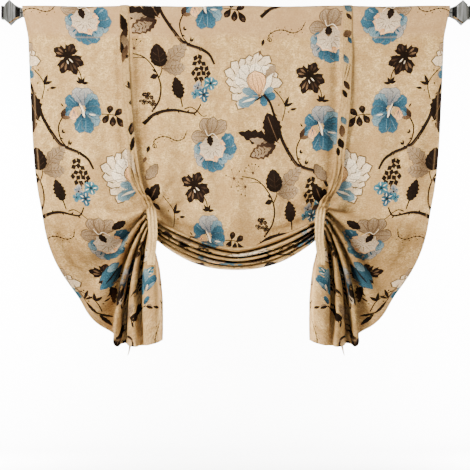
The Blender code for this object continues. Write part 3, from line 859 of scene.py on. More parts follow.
def blue_bloom():
    """A bloom seen from the side, with lilac petals above and blue ones beside and below them."""
    hub = np.array([-5.6, 87.0])
    made = []
    for x, y, to_x, to_y, width, ink in BLUE_BLOOM_PETALS:
        base, tip = hub + (x, y), hub + (to_x, to_y)
        way = tip - base
        off = turned(way) * 0.16
        made += [
            petal(base, base + way * 1.03, width + 1.2, RIM, 0.10),
            petal(base, tip, width, ink, 0.10),
            stem([base + way * 0.3, base + way * 0.85 + off], 0.9, 0.4, SKY if ink is BLUE else LILAC, 1),
            stem([base + way * 0.2, base + way * 0.8 - off], 0.8, 0.3, BLUE, 1),
        ]
    made.append(leaf(hub + (-3, -5), hub + (2, 10), 3.6, WHITE, 0.1, 0.5))
    made.append(stem([hub + (-4, -4), hub + (-1.5, 2), hub + (0, 10)], 1.0, 0.7, DARK, 2))
    made.append(leaf(hub + (6, 6), hub + (13, 7), 1.6, WHITE))
    return made


def oval_sprig():
    """Five oval leaves on a short stalk."""
    made = [stem([(13, 93), (20, 93.5), (26, 95), (30, 99)], 1.0, 0.8)]
    bases = np.array([(20, 93), (25, 95), (20, 93.5), (24, 95), (27, 96)])
    tips = np.array([(22, 84.5), (33, 89), (14, 102), (23, 106), (34, 107)])
    for base, tip in zip(bases, tips):
        made += [
            leaf(base, tip, 6.6, DARK, 0.0, 0.6, 0.7, 8),
            leaf((base + tip) / 2, tip * 0.9 + base * 0.1, 3.0, BROWN, 0.0, 0.55, 0.8, 6),
            dot((base + 2 * tip) / 3, 0.6, UMBER, 5),
        ]
    return made


def bud():
    """A blue bud in a brown cup on a bent stalk."""
    line = [(-26, 97), (-30.5, 107), (-29, 119), (-24, 126), (-20, 129)]
    return [
        stem(line, 1.3, 1.5),
        *thorns(line, (0.5,), 3),
        petal((-25, 95), (-15, 85), 8, BLUE, 0.0),
        petal((-24, 95), (-13.5, 92), 7, SKY, 0.0),
        leaf((-27, 98), (-23, 88), 5, BROWN, 0.1),
        leaf((-27, 98), (-17, 97), 4, UMBER, 0.1),
        leaf((-25, 87), (-27.5, 83), 1.5, DARK),
        leaf((-27, 113), (-26, 109), 1.9, DARK),
        leaf((-27, 113), (-23.5, 112), 1.9, DARK),
        leaf((-21, 125), (-20, 119), 1.9, DARK),
        leaf((-20, 125), (-17.5, 121), 1.9, DARK),
    ]


BRANCH = (
    (-66, 54),
    (-59, 62),
    (-53.5, 78),
    (-49.5, 88),
    (-46, 99),
    (-39.5, 111),
    (-30, 124),
    (-20.5, 128.6),
    (-11, 131.6),
    (-2, 138),
    (3, 148),
)
TWIG = ((-70, 209), (-60, 199.5), (-48, 195), (-37, 193.5), (-27, 195), (-18, 196), (-14, 192.5), (-11, 187))


def branches():
    """The thick bent branch with its leaves, and the thorny one that leads to the next bloom."""
    made = [
        leaf((-51, 101), (-62, 72), 19, DARK, 0.10, 0.5, 0.8, 13),
        stem([(-51, 100), (-57, 86), (-61, 76)], 0.8, 0.4, UMBER, 2),
        leaf((-53, 102), (-92, 93), 15, DARK, 0.20, 0.42, 0.9, 13),
        leaf((-60, 104), (-80, 99), 8, TAUPE, 0.15, 0.45),
        leaf((-52, 104), (-80, 117), 15, BROWN, 0.12, 0.5, 0.8, 13),
        leaf((-57, 107), (-78, 116), 10, TAUPE, 0.18, 0.55, 0.9, 11),
    ]
    for share in (0.3, 0.45, 0.6, 0.75):
        x, y = -57 - 21 * share, 107 + 9 * share
        made.append(short_line((x, y), (x - 3, y - 3.5), 1.1, BROWN))
        made.append(short_line((x, y), (x - 2, y + 4), 1.1, BROWN))
    return made + [
        stem([(-49, 102), (-58, 99), (-68, 103)], 0.8, 0.5),
        stem(BRANCH[:6], 2.2, 3.6),
        stem(BRANCH[5:9], 3.6, 3.3),
        stem(BRANCH[8:], 3.2, 2.0),
        stem([(-38, 114), (-29, 126), (-20, 130), (-10, 133)], 0.8, 0.6, UMBER),
        *thorns(BRANCH, (0.18, 0.33, 0.47, 0.55, 0.68, 0.8)),
        stem(TWIG, 3.6, 1.2),
        stem([(-62, 202), (-48, 196.5), (-36, 195)], 0.8, 0.5, UMBER),
        *thorns(TWIG, (0.08, 0.2, 0.33, 0.46, 0.6, 0.72)),
        stem([(-28, 192), (-22, 190), (-16, 193), (-10, 199), (-5, 199)], 1.1, 0.8),
    ]


def pale_blossom():
    """A large pale blossom in thin outlines, with a ribbed peach heart and blue petals at its foot."""
    hub, inner_hub = np.array([-76, 42]), (-74, 44)
    made = []
    for degrees in range(-150, 100, 20):
        tip = polar(degrees, 30 + 3 * math.sin(degrees * 0.7), hub)
        made += [petal(hub, tip, 13, LINE, 0.12), petal(hub, hub + (tip - hub) * 0.95, 11.2, HAZE, 0.12)]
    for degrees, reach, width in ((-75, 22, 15), (-40, 23, 16), (35, 22, 15), (0, 21, 13)):
        tip = polar(degrees, reach, inner_hub)
        made += [petal(inner_hub, tip, width + 1.3, LINE, 0.1), petal(inner_hub, tip, width, WHITE, 0.1)]
    for degrees in range(-130, 70, 25):
        ends = [polar(degrees, 12, (-74, 42)), polar(degrees + 5, 24, (-74, 42))]
        made.append(stem(ends, 0.6, 0.3, LINE, 1))
    made += [
        petal((-66, 45), (-55, 24), 9, TAUPE, 0.14),
        leaf((-70, 54), (-56, 32), 7, WHITE, 0.0, 0.5),
        stem([(-66, 55), (-58, 44), (-57, 34)], 0.9, 0.6, LINE),
        petal((-70, 57), (-75, 30), 21, RIB, 0.0),
        petal((-70, 56.5), (-75, 31), 19, PEACH, 0.0),
    ]
    for off in (-6, -2, 2, 6):
        made.append(stem([(-70, 56), (-74 + off * 1.2, 44), (-76 + off * 0.7, 34)], 0.6, 0.4, RIB, 2))
    return made + [
        petal((-70, 56), (-92, 66), 11, SKY, 0.1),
        leaf((-74, 58), (-88, 63), 2.4, WHITE),
        petal((-71, 55), (-88, 50), 8, SKY, 0.1),
        petal((-68, 54), (-64, 66), 8, BLUE, 0.1),
        petal((-66, 54), (-53, 56), 9, BLUE, 0.1),
        petal((-66, 53), (-56, 47), 6, SKY, 0.1),
        leaf((-66, 55), (-76, 62), 1.8, DARK),
    ]


def small_sprig():
    """A thin stalk with narrow leaves and specks."""
    made = [
        stem([(-55, 49), (-47, 58), (-43.4, 67), (-46.4, 80)], 0.9, 1.0),
        leaf((-44, 65.5), (-39.5, 55), 3.4, DARK),
        leaf((-44, 65.5), (-35, 62), 3.2, DARK),
        leaf((-38, 69), (-31, 68), 2.6, DARK),
    ]
    return made + [dot(place, 0.9) for place in ((-52, 52), (-49, 51), (-50, 64), (-40, 71))]


def forked_leaves():
    """A lobed dark leaf and two ribbed pale ones on a forked stalk."""
    made = []
    for base, tip in (((-50, 151), (-25, 127)), ((-50, 153), (-26, 150))):
        way = np.array(tip, float) - base
        made += [
            leaf(base, tip, 15.3, RIB, 0.12, 0.55, 0.8, 11),
            leaf(base, tip, 14, TAUPE, 0.12, 0.55, 0.8, 11),
            stem([base, base + way * 0.9], 0.7, 0.4, RIB, 1),
        ]
        for share in (0.35, 0.5, 0.65, 0.8):
            for side in (-1, 1):
                middle = base + way * share
                made.append(short_line(middle, middle + way * 0.12 + turned(way) * side * 0.17, 0.8, RIB))
    made.append(leaf((-52, 151.5), (-55.5, 128), 17.5, DARK, 0.07, 0.40, 0.62, 13))
    made.append(stem([(-52, 149), (-54, 133)], 0.7, 0.4, BROWN, 1))
    for start, to_x, to_y in ((142, -59, 137), (142, -48, 137), (147, -58, 144), (147, -47.5, 143)):
        made.append(stem([(-52.6, start), (to_x, to_y)], 0.6, 0.3, BROWN, 1))
    upper_stalk = [(-88, 137), (-74, 139), (-66, 144), (-58.7, 152.6)]
    lower_stalk = [(-54, 162), (-51.8, 172), (-54, 185), (-62, 197)]
    return made + [
        stem(upper_stalk + lower_stalk, 0.9, 2.0),
        stem([(-53.5, 162), (-50.5, 155), (-50.5, 150)], 1.2, 0.9),
        stem([(-79, 143), (-72, 142), (-66, 144)], 0.7, 0.8),
        leaf((-55, 160), (-63, 163), 5.6, DARK, 0.1),
        leaf((-56, 157), (-60.5, 154), 2.4, DARK),
    ]


# The small pointed leaves of the loose bunch: where each is, and the way it points in degrees
DIAMONDS = (
    (-16, 141, 20),
    (-11.5, 140, -30),
    (-17, 146.5, 60),
    (-12, 145, 10),
    (-8, 147, -50),
    (-5, 152, 30),
    (-10, 151.5, -20),
    (-15, 152, 70),
    (-3, 157, 10),
    (-8, 156.5, -40),
    (-13, 157, 40),
    (-18.5, 156, 0),
    (-5, 161.5, 30),
    (-10.5, 162, -60),
    (-15.5, 162, 15),
    (-12, 166.5, 50),
)


def berries():
    """A loose bunch of small pointed leaves."""
    made = []
    for x, y, degrees in DIAMONDS:
        corners = [polar(degrees + 90 * k, (3.5, 2.7)[k % 2], (x, y)) for k in range(4)]
        made.append(shape_of(corners, DARK, corners[0], corners[2]))
    made.append(stem([(-10, 162), (-10, 172)], 0.6, 0.6, UMBER, 1))
    made.append(stem([(-5, 160), (-5, 168)], 0.6, 0.6, UMBER, 1))
    return made


# Across, down, reach, number of petals, ink, and the ink of the petals' streaks
SMALL_FLOWERS = (
    (-14, 171, 6.0, 4, LILAC, BLUE),
    (-1, 167, 7.4, 5, TEAL, WHITE),
    (-8, 178, 6.8, 5, BLUE, WHITE),
    (-17, 177, 4.6, 4, TEAL, SKY),
    (-65, 181, 5.0, 4, DARK, UMBER),
    (-69, 187, 3.6, 4, DARK, TAUPE),
    (-61, 188, 4.2, 4, DARK, UMBER),
)


def small_flowers():
    """Four small blue and lilac flowers, three dark ones and a lobed leaf."""
    made = []
    for x, y, reach, petals, ink, accent in SMALL_FLOWERS:
        for k in range(petals):
            degrees = 20 + k * 360 / petals + 9 * math.sin(5 * k + x)
            tip = polar(degrees, reach * (1 + 0.18 * math.sin(3 * k + y)), (x, y))
            streak = polar(degrees + 9, reach * 0.3, (x, y)), polar(degrees, reach * 0.9, (x, y))
            made += [petal((x, y), tip, reach * 0.9, ink, 0.14), leaf(*streak, 1.1, accent)]
        made.append(dot((x, y), reach * 0.16))
    made.append(stem([(-62, 190), (-60, 197)], 0.7, 0.7, UMBER, 1))
    made.append(leaf((-32, 182), (-37, 160), 12.5, DARK, 0.15, 0.42, 0.75, 13))
    made.append(stem([(-32, 180), (-30, 190)], 1.6, 1.2, DARK, 1))
    return made


CURL = ((-60, 1), (-62.5, -1), (-60, -3.5), (-58, 0), (-60, 1))
VINE = ((-61, -5), (-57, -9), (-51, -11), (-45, -10.5), (-40, -8.5), (-35, -8), (-29, -11), (-26.5, -17))


def dotted_vine():
    """A thin curled vine with specks along it."""
    made = [stem(CURL, 0.8, 0.8, DARK, 2), stem((CURL[-1], *VINE), 0.9, 0.7, DARK, 2)]
    for number, (x, y) in enumerate(smooth_line(VINE, 3)[::2].tolist()):
        side = 3.2 if number % 2 else -3.0
        made += [
            dot((x + 1.2, y + side), 0.6, DARK, 5),
            dot((x - 1.4, y - side * 0.7), 0.45, UMBER, 5),
            dot((x, y), 0.95, DARK, 5),
        ]
    made.append(leaf((-66, -1), (-68, 6), 3.2, DARK, 0.1))
    made.append(leaf((-69, 10), (-71, 16), 2.6, UMBER, 0.1))
    return made


def umbels():
    """Fine stalks that end in specks."""
    made = []
    for x, y, first, last in ((-76, 133, -80, 40), (-84, 147, 180, 330), (-96, 139, -70, 200)):
        for degrees in np.linspace(first, last, 6):
            tip = polar(degrees, 9, (x, y))
            made += [stem([(x, y), tip], 0.35, 0.3, LINE, 1), dot(tip, 0.85, DARK, 5)]
        made.append(dot((x, y), 1.6, UMBER))
    return made


# One repeat of the print, in drawing steps from the middle of its ring bloom. Later motifs lie on top.
MOTIFS = (
    pale_blossom,
    umbels,
    dotted_vine,
    small_sprig,
    branches,
    forked_leaves,
    berries,
    small_flowers,
    oval_sprig,
    bud,
    blue_bloom,
    leaf_cluster,
    ring_bloom,
)


# Where each repeat's ring bloom lies on the drawing, and the part of the cloth it is printed on. The print
# is cut under the straps, and the two sides are alike in mirror image.
Repeat = namedtuple("Repeat", "across down zone left_out", defaults=((),))
REPEATS = (
    Repeat(89.5, 20.4, "side"),
    Repeat(89.5, 250, "side", (branches,)),
    Repeat(211, 148, "middle", (pale_blossom, branches)),
    Repeat(330, 40, "middle"),
    Repeat(211, -84, "middle"),
    Repeat(330, 272, "middle"),
    Repeat(211, 380, "middle"),
    Repeat(450, 148, "middle"),
    Repeat(450, -84, "middle"),
    Repeat(330, -192, "middle"),
    Repeat(-30, 134, "side"),
    Repeat(205, 134, "side", (branches,)),
    Repeat(-30, 366, "side"),
    Repeat(205, 366, "side"),
    Repeat(89.5, 482, "side"),
    Repeat(89.5, -212, "side"),
)
ZONE_EDGE = 0.292  # how far out the print is cut, under the straps
FLAT_STEP = 0.00285  # metres of flat cloth to a step, as the hung cloth is a little drawn in
MIRRORED = (-1.0, 1.0)


def clipped(points, low, high):
    """An outline cut off at two places across the cloth."""
    for limit, sign in ((low, 1), (high, -1)):
        made = []
        for k in range(len(points)):
            start, end = points[k - 1], points[k]
            start_in, end_in = sign * (start[0] - limit) >= 0, sign * (end[0] - limit) >= 0
            if start_in != end_in:
                made.append(start + (end - start) * (limit - start[0]) / (end[0] - start[0]))
            if end_in:
                made.append(end)
        points = np.array(made)
        if len(points) < 3:
            return None
    return points


def print_shapes():
    """The whole print as shapes on the flat cloth."""
    drawn = [(motif, motif()) for motif in MOTIFS]
    made = []
    for repeat in REPEATS:
        across = (repeat.across - DRAWING_MIDDLE[0]) * FLAT_STEP
        along = SEAM_V - POCKET_DROP + (repeat.down - DRAWING_MIDDLE[1]) * DRAWING_STEP
        side = repeat.zone == "side"
        low, high = (-HALF_WIDTH - MESH_STEP, -ZONE_EDGE) if side else (-ZONE_EDGE, ZONE_EDGE)
        for shape in [shape for motif, shapes in drawn if motif not in repeat.left_out for shape in shapes]:
            placed = moved(shape, (FLAT_STEP, DRAWING_STEP), (across, along))
            points = clipped(placed.points, low, high)
            if points is None or points[:, 1].max() < 0 or (points[:, 1] > hem_v(points[:, 0])).all():
                continue
            placed = placed._replace(points=points)
            made += [placed, moved(placed, MIRRORED)] if side else [placed]
    return made + fold_marks()


# Single bits of the print that show on the folds, knots and swag: from one place on the drawing to another,
# with their width and ink
FOLD_MARKS = (
    (158, 164, 146, 181, 11, RIB),
    (157.5, 165, 146.5, 180, 9.5, TAUPE),
    (149, 201, 159, 184, 12, DARK),
    (147, 202, 148, 188, 6, DARK),
    (151, 199, 156, 188, 1.2, UMBER),
    (153, 204, 160, 210, 5, BROWN),
    (112, 229, 126, 221, 8, DARK),
    (141.0, 251, 141.6, 245, 5, DARK),
    (142.3, 261, 142.5, 253, 6, DARK),
    (142.3, 269, 142.5, 261, 6, DARK),
    (121, 264, 100, 290, 10, BLUE),
    (122, 263, 109, 288, 9, BLUE),
    (116, 262, 100, 281, 9, BLUE),
    (119, 262, 108, 272, 7, SKY),
    (118, 267, 105, 284, 1.4, DARK),
    (119, 270, 111, 285, 1.2, DARK),
    (122, 283, 117, 306, 9, DARK),
    (128, 282, 124, 303, 6, DARK),
    (116, 285, 107, 297, 3, DARK),
    (73, 284, 87, 303, 1.8, DARK),
    (86, 301, 99, 314, 3.4, DARK),
    (97, 312, 113, 317, 2.8, DARK),
    (99, 314, 112, 326, 3.6, DARK),
    (84, 299, 88, 290, 3, DARK),
    (85, 299, 93, 296, 2.6, DARK),
    (124, 294, 120, 304, 5, CREAM),
    (123.5, 296, 120.7, 302, 2.4, DARK),
    (145.6, 290, 144.8, 268, 8.2, SKY),
    (145.4, 288, 143.6, 271, 2.4, BLUE),
    (147, 291, 153.8, 274.5, 10.5, BLUE),
    (148, 289, 155.2, 281, 4.5, SKY),
    (146, 291, 147.4, 284, 2.2, CREAM),
    (145.6, 304, 147.8, 295.5, 6.2, BLUE),
    (147.5, 304, 153, 307, 2.6, TAUPE),
    (143.6, 306.6, 146.8, 305.4, 1.4, DARK),
    (146.4, 305.4, 153, 308, 2.0, DARK),
    (153.5, 305.8, 159, 307.6, 2.0, DARK),
    (110.5, 286.5, 116.5, 301, 7.5, DARK),
    (109.5, 294, 117, 306, 4.2, DARK),
    (114.5, 287.5, 113.5, 303, 6.5, BROWN),
    (112.5, 283, 119, 281, 3.2, TAUPE),
    (130.5, 283, 133.5, 289.5, 3.4, DARK),
    (130.6, 297.5, 136.8, 287, 1.8, DARK),
    (132.6, 296.5, 137.4, 291, 1.4, BROWN),
    (132, 320, 134, 327, 1.6, DARK),
    (126, 324, 128.5, 330, 2.6, DARK),
    (174, 239, 182, 242.5, 3.6, DARK),
    (178, 244, 186, 247.5, 3.6, DARK),
    (166, 234, 172, 237, 2.4, DARK),
    (198, 245, 211, 249, 7, BLUE),
    (191, 251.5, 200, 256, 3.6, DARK),
    (206, 268, 215, 264.5, 5.5, DARK),
    (229, 264.5, 236, 264.5, 7, SKY),
)
MOST_STRETCH = 2.3  # a mark that a fold would pull out longer than this is left out


def fold_marks():
    """The single bits of the print on both sides, as shapes on the flat cloth."""
    made = []
    for start, end, (across, down, to_across, to_down, width, ink) in flat_runs(FOLD_MARKS):
        length = math.dist((across, down), (to_across, to_down)) * DRAWING_STEP
        if np.linalg.norm(end - start) < MOST_STRETCH * length:
            made.append(leaf(start, end, width * DRAWING_STEP, ink, 0.10, 0.5, 0.7))
    return made


# How the printed face and the back share the picture that the cloth's colour is kept in
FACE_MAP = (0.004, 0.62)  # left edge, and size for each metre
BACK_MAP = (0.745, 0.21)
MAP_TOP = 0.996


def printed_face(shapes):
    """The printed face as flat places and triangles, with the print's outlines among their edges."""
    edge_places = border()
    count = len(edge_places)
    loop = [(k, (k + 1) % count) for k in range(count)]
    outline_places, outline_pairs = outline_edges(shapes, count)
    places = np.concatenate([edge_places, outline_places, lattice(True, outline_places)])
    return triangulated(places, loop + outline_pairs)


def turned_edge(rim, partner):
    """The triangles between the printed face's open edges and their partners on the back."""
    made = []
    for a, b in rim.tolist():
        made += [(b, a, partner[a]), (b, partner[a], partner[b])]
    return np.array([corners for corners in made if len(set(corners)) == 3])


def picture_places(flat, faces, on_back):
    """Where each corner lies in the picture that the cloth's colour is kept in."""
    maps = np.where(np.repeat(on_back, 3)[:, None], [BACK_MAP], [FACE_MAP])
    across, along = flat[faces.ravel()].T
    return np.stack([maps[:, 0] + (across + HALF_WIDTH) * maps[:, 1], MAP_TOP - along * maps[:, 1]], axis=1)


def make_panel(shapes, looks):
    """The cloth: its printed face, its back and the turned edge between them, as one mesh."""
    face_flat, face_faces = printed_face(shapes)
    face_count = len(face_flat)
    rim = open_edges(face_faces)
    rim_numbers, rim_pairs = np.unique(rim, return_inverse=True)
    back_places = np.concatenate([face_flat[rim_numbers], lattice(False)])
    back_flat, back_faces = triangulated(back_places, rim_pairs.reshape(-1, 2).tolist())
    behind = matching(face_flat[rim_numbers], back_flat) + face_count
    rim_faces = turned_edge(rim, dict(zip(rim_numbers.tolist(), behind.tolist())))
    face_corners = print_on(face_flat, face_faces, shapes)
    back_corners = show_through(face_flat, face_faces, face_corners, back_flat)[back_faces]
    corners = np.concatenate([face_corners, back_corners[:, ::-1], np.zeros((len(rim_faces), 3, 4))])
    faces = np.concatenate([face_faces, back_faces[:, ::-1] + face_count, rim_faces])
    on_back = np.repeat([False, True, False], [len(face_faces), len(back_faces), len(rim_faces)])
    flat = np.concatenate([face_flat, back_flat])

    face_hung, face_normals = hung_with_normals(face_flat[:, 0], face_flat[:, 1])
    back_hung, back_normals = hung_with_normals(back_flat[:, 0], back_flat[:, 1])
    points = np.concatenate([face_hung + face_normals * FACE_OFF, back_hung - back_normals * BACK_OFF])
    normals = np.concatenate([face_normals, -back_normals])
    panel = cloth_object("printed_panel", points, faces, looks)
    mesh = panel.data
    mesh.polygons.foreach_set("material_index", on_back.astype(np.int32))
    keep_flat_places(mesh, flat, hem_v(flat[:, 0]) - flat[:, 1], corners)
    keep_shade(mesh, shade_at(flat[:, 0], flat[:, 1]))
    mesh.uv_layers.new(name="OFBake").data.foreach_set("uv", picture_places(flat, faces, on_back).ravel())
    mesh.normals_split_custom_set_from_vertices(normals.tolist())
    return panel


def matching(places, others):
    """For each of these flat places, the number of the nearest of the others."""
    tree = KDTree(len(others))
    for number, (u, v) in enumerate(others.tolist()):
        tree.insert((u, v, 0.0), number)
    tree.balance()
    return np.array([tree.find((u, v, 0.0))[1] for u, v in places.tolist()])


def show_through(face_flat, face_faces, face_corners, back_flat):
    """The print's colour behind each of the back's places, from the nearest triangle of the face."""
    return face_corners.mean(axis=1)[matching(back_flat, face_flat[face_faces].mean(axis=1))]


def open_edges(faces):
    """The edges that only one triangle has, each in that triangle's direction."""
    pairs = np.concatenate([faces[:, [0, 1]], faces[:, [1, 2]], faces[:, [2, 0]]])
    _, first, count = np.unique(np.sort(pairs, axis=1), axis=0, return_index=True, return_counts=True)
    return pairs[first[count == 1]]


def linked(name, data):
    """A new object in the scene."""
    made = bpy.data.objects.new(name, data)
    bpy.context.scene.collection.objects.link(made)
    return made


def cloth_object(name, points, faces, looks):
    mesh = bpy.data.meshes.new(name)
    mesh.from_pydata(points.tolist(), [], faces.tolist())
    mesh.shade_smooth()
    for look in looks:
        mesh.materials.append(look)
    return linked(name, mesh)


def keep_flat_places(mesh, flat, to_hem, corners):
    """Keeps each point's flat place and its distance from the hem, and each corner's print."""
    place = mesh.attributes.new("flat_place", "FLOAT_VECTOR", "POINT")
    place.data.foreach_set("vector", np.column_stack([flat, to_hem]).ravel())
    colour = mesh.color_attributes.new("print", "FLOAT_COLOR", "CORNER")
    colour.data.foreach_set("color", corners.ravel())


def keep_shade(mesh, shade):
    mesh.attributes.new("shade", "FLOAT", "POINT").data.foreach_set("value", shade)


# Colours, as linear red, green and blue
LINEN_LIGHT = (0.90, 0.610, 0.250)
LINEN_DARK = (0.44, 0.255, 0.092)
LINEN_BACK = (0.58, 0.38, 0.16)
# the stitching thread's colour, also painted as shade over the rod pocket and in the seams' troughs
THREAD_AND_SHADE = (0.38, 0.22, 0.10)
BACK_SHOW = 0.34  # how much of the print shows on the back
METAL = (0.80, 0.80, 0.76)
# the darker tint of the metal's painted reflection bands
METAL_REFLECTION_BAND = (0.36, 0.36, 0.31)


def add_node(tree, kind, inputs=None, **settings):
    """A node with its settings, its fixed inputs set and its linked inputs linked."""
    made = tree.nodes.new(kind)
    for key, value in settings.items():
        setattr(made, key, value)
    for key, value in (inputs or {}).items():
        if isinstance(value, bpy.types.NodeSocket):
            tree.links.new(value, made.inputs[key])
        else:
            made.inputs[key].default_value = value
    return made


def calculated(tree, operation, *values):
    """The result of one step of arithmetic."""
    made = add_node(tree, "ShaderNodeMath", dict(enumerate(values)), operation=operation)
    return made.outputs[0]


def mixed(tree, share, first, second, blend="MIX"):
    """Two colours mixed by a share from 0 to 1."""
    made = tree.nodes.new("ShaderNodeMix")
    made.data_type = "RGBA"
    made.blend_type = blend
    for slot, value in ((0, share), (6, first), (7, second)):
        if isinstance(value, bpy.types.NodeSocket):
            tree.links.new(value, made.inputs[slot])
        else:
            made.inputs[slot].default_value = value if slot == 0 else (*value, 1.0)
    return made.outputs[2]


def spread(tree, value, low, high, to_low=0.0, to_high=1.0):
    """A value moved from one range to another, and held inside it."""
    made = add_node(
        tree,
        "ShaderNodeMapRange",
        {"Value": value, "From Min": low, "From Max": high, "To Min": to_low, "To Max": to_high},
        clamp=True,
    )
    return made.outputs["Result"]


def scaled(tree, vector, scale):
    made = add_node(tree, "ShaderNodeVectorMath", {0: vector, 1: scale}, operation="MULTIPLY")
    return made.outputs[0]


def noise(tree, vector, scale, detail=2.0, roughness=0.5):
    made = add_node(
        tree,
        "ShaderNodeTexNoise",
        {"Vector": scaled(tree, vector, scale), "Scale": 1.0, "Detail": detail, "Roughness": roughness},
    )
    return made.outputs["Fac"]


def shader_of(name, roughness, metallic=0.0):
    """A new material, its tree and its shader."""
    made = bpy.data.materials.new(name)
    made.use_nodes = True
    shader = made.node_tree.nodes["Principled BSDF"]
    shader.inputs["Roughness"].default_value = roughness
    shader.inputs["Metallic"].default_value = metallic
    return made, made.node_tree, shader


def flat_vector(tree):
    return add_node(tree, "ShaderNodeAttribute", attribute_name="flat_place").outputs["Vector"]


def weave(tree, place):
    """The linen's threads, from 0 to 1: uneven slubs along both directions of the weave."""
    across = noise(tree, place, (55.0, 1500.0, 0.0), 2.0, 0.6)
    along = noise(tree, place, (1500.0, 55.0, 0.0), 2.0, 0.6)
    return calculated(tree, "MULTIPLY", calculated(tree, "ADD", across, along), 0.5)


def near_line(tree, value, line, width):
    """1 on a line where the value equals line, fading to 0 this far from it."""
    off = calculated(tree, "ABSOLUTE", calculated(tree, "SUBTRACT", value, line))
    return spread(tree, off, 0.0, width, 1.0, 0.0)


def stitches(tree, run, off):
    """A row of stitches: run is the distance along it and off the distance beside it, from 0 to 1."""
    beat = calculated(tree, "FRACT", calculated(tree, "MULTIPLY", run, 1 / STITCH))
    return calculated(tree, "MULTIPLY", calculated(tree, "LESS_THAN", beat, 0.68), off)


DEEPEST_SHADE = 0.75
SHADE_TINT = (0.36, 0.31, 0.26)

# How uneven the print is, as the colours that its ink is multiplied by, and what is left of it on the
# highest threads
WASH = ((0.60, 0.60, 0.60), (1.50, 1.48, 1.45))
WORN = 0.985

# The cloth's surface: how rough and shiny it is, and how strong and deep its relief is
CLOTH_ROUGHNESS = 0.92
CLOTH_SHINE = 0.04
RELIEF_STRENGTH = 0.6
RELIEF_DEPTH = 0.0009
THREAD_RELIEF = 0.5
PULL_RELIEF = 1.2
SEWN_RELIEF = 0.5

# The seams: the length of a stitch, how far the side and bottom hems' stitching lies from the edge, and
# how wide a seam pulls the cloth in
STITCH = 0.0042
SIDE_HEM = 0.012
BOTTOM_HEM = 0.022
THREAD_WIDTH = 0.0007
PULL_WIDTH = 0.0045
# painted shade in the trough that a seam pulls in
SEAM_TROUGH_SHADE = 0.28
SEWN_TINT = 0.55
TIE_SEWN_TINT = 0.5
HEADING_SHADE = 0.60  # painted shade over the rod pocket
HEADING_EDGE = (0.012, 0.004)  # how far above and below the seam it starts and ends to fade
TIE_STITCH = 0.0105  # how far the strap's stitching lies from its middle

# Layers of mottling, one over the other: how fine the noise is across and along, its detail and roughness,
# the part of its range that is used, the least and most that it covers, and how dark its colour is
PANEL_LAYERS = (
    (14, 11, 3, 0.55, 0.38, 0.62, 0.05, 0.80, 1.0),
    (29, 34, 2, 0.60, 0.48, 0.62, 0.0, 0.50, 1.0),
    (62, 50, 3, 0.60, 0.44, 0.60, 0.0, 0.72, 1.0),
    (170, 210, 3, 0.65, 0.46, 0.60, 0.0, 0.75, 0.7),
    (380, 420, 2, 0.60, 0.44, 0.60, 0.0, 0.60, 0.6),
)
TIE_LAYERS = (
    (30, 14, 3, 0.55, 0.32, 0.68, 0.0, 0.55, 1.0),
    (190, 190, 3, 0.65, 0.46, 0.62, 0.0, 0.60, 0.7),
)

# The most that the lower threads are tinted, and how dark their colour is
PANEL_WEAVE = (0.34, 0.6)
TIE_WEAVE = (0.30, 0.66)


def darker(colour, share):
    return tuple(c * share for c in colour)


def mottled(tree, place, ground, dark, layers):
    """A ground colour with these layers of a dark one over it."""
    for across, along, detail, roughness, low, high, least, most, depth in layers:
        cloud = noise(tree, place, (across, along, 0.0), detail, roughness)
        ground = mixed(tree, spread(tree, cloud, low, high, least, most), ground, darker(dark, depth))
    return ground


def woven(tree, threads, ground, dark, weave_tint):
    """The ground with the weave's lower threads darker."""
    most, depth = weave_tint
    return mixed(tree, spread(tree, threads, 0.40, 0.62, 0.0, most), ground, darker(dark, depth))


def inked(tree, place, threads, ground, show):
    """The ground with this much of its print over it, a little uneven and worn off the highest threads."""
    ink = add_node(tree, "ShaderNodeAttribute", attribute_name="print")
    wash = noise(tree, place, (330.0, 260.0, 0.0), 3.0, 0.6)
    worn = spread(tree, threads, 0.30, 0.70, 1.0, WORN)
    strength = mixed(tree, spread(tree, wash, 0.36, 0.64), *WASH)
    washed = mixed(tree, 1.0, ink.outputs["Color"], strength, "MULTIPLY")
    cover = calculated(tree, "MULTIPLY", ink.outputs["Alpha"], worn)
    return mixed(tree, calculated(tree, "MULTIPLY", cover, show), ground, washed)


def shaded(tree, ground):
    shade = add_node(tree, "ShaderNodeAttribute", attribute_name="shade").outputs["Fac"]
    return mixed(tree, calculated(tree, "MULTIPLY", shade, DEEPEST_SHADE), ground, SHADE_TINT, "MULTIPLY")


def finish_cloth(tree, shader, ground, height):
    """Gives the cloth's shader its colour and its fine relief."""
    tree.links.new(ground, shader.inputs["Base Color"])
    relief = {"Strength": RELIEF_STRENGTH, "Distance": RELIEF_DEPTH, "Height": height}
    tree.links.new(add_node(tree, "ShaderNodeBump", relief).outputs[0], shader.inputs["Normal"])
    shader.inputs["Specular IOR Level"].default_value = CLOTH_SHINE


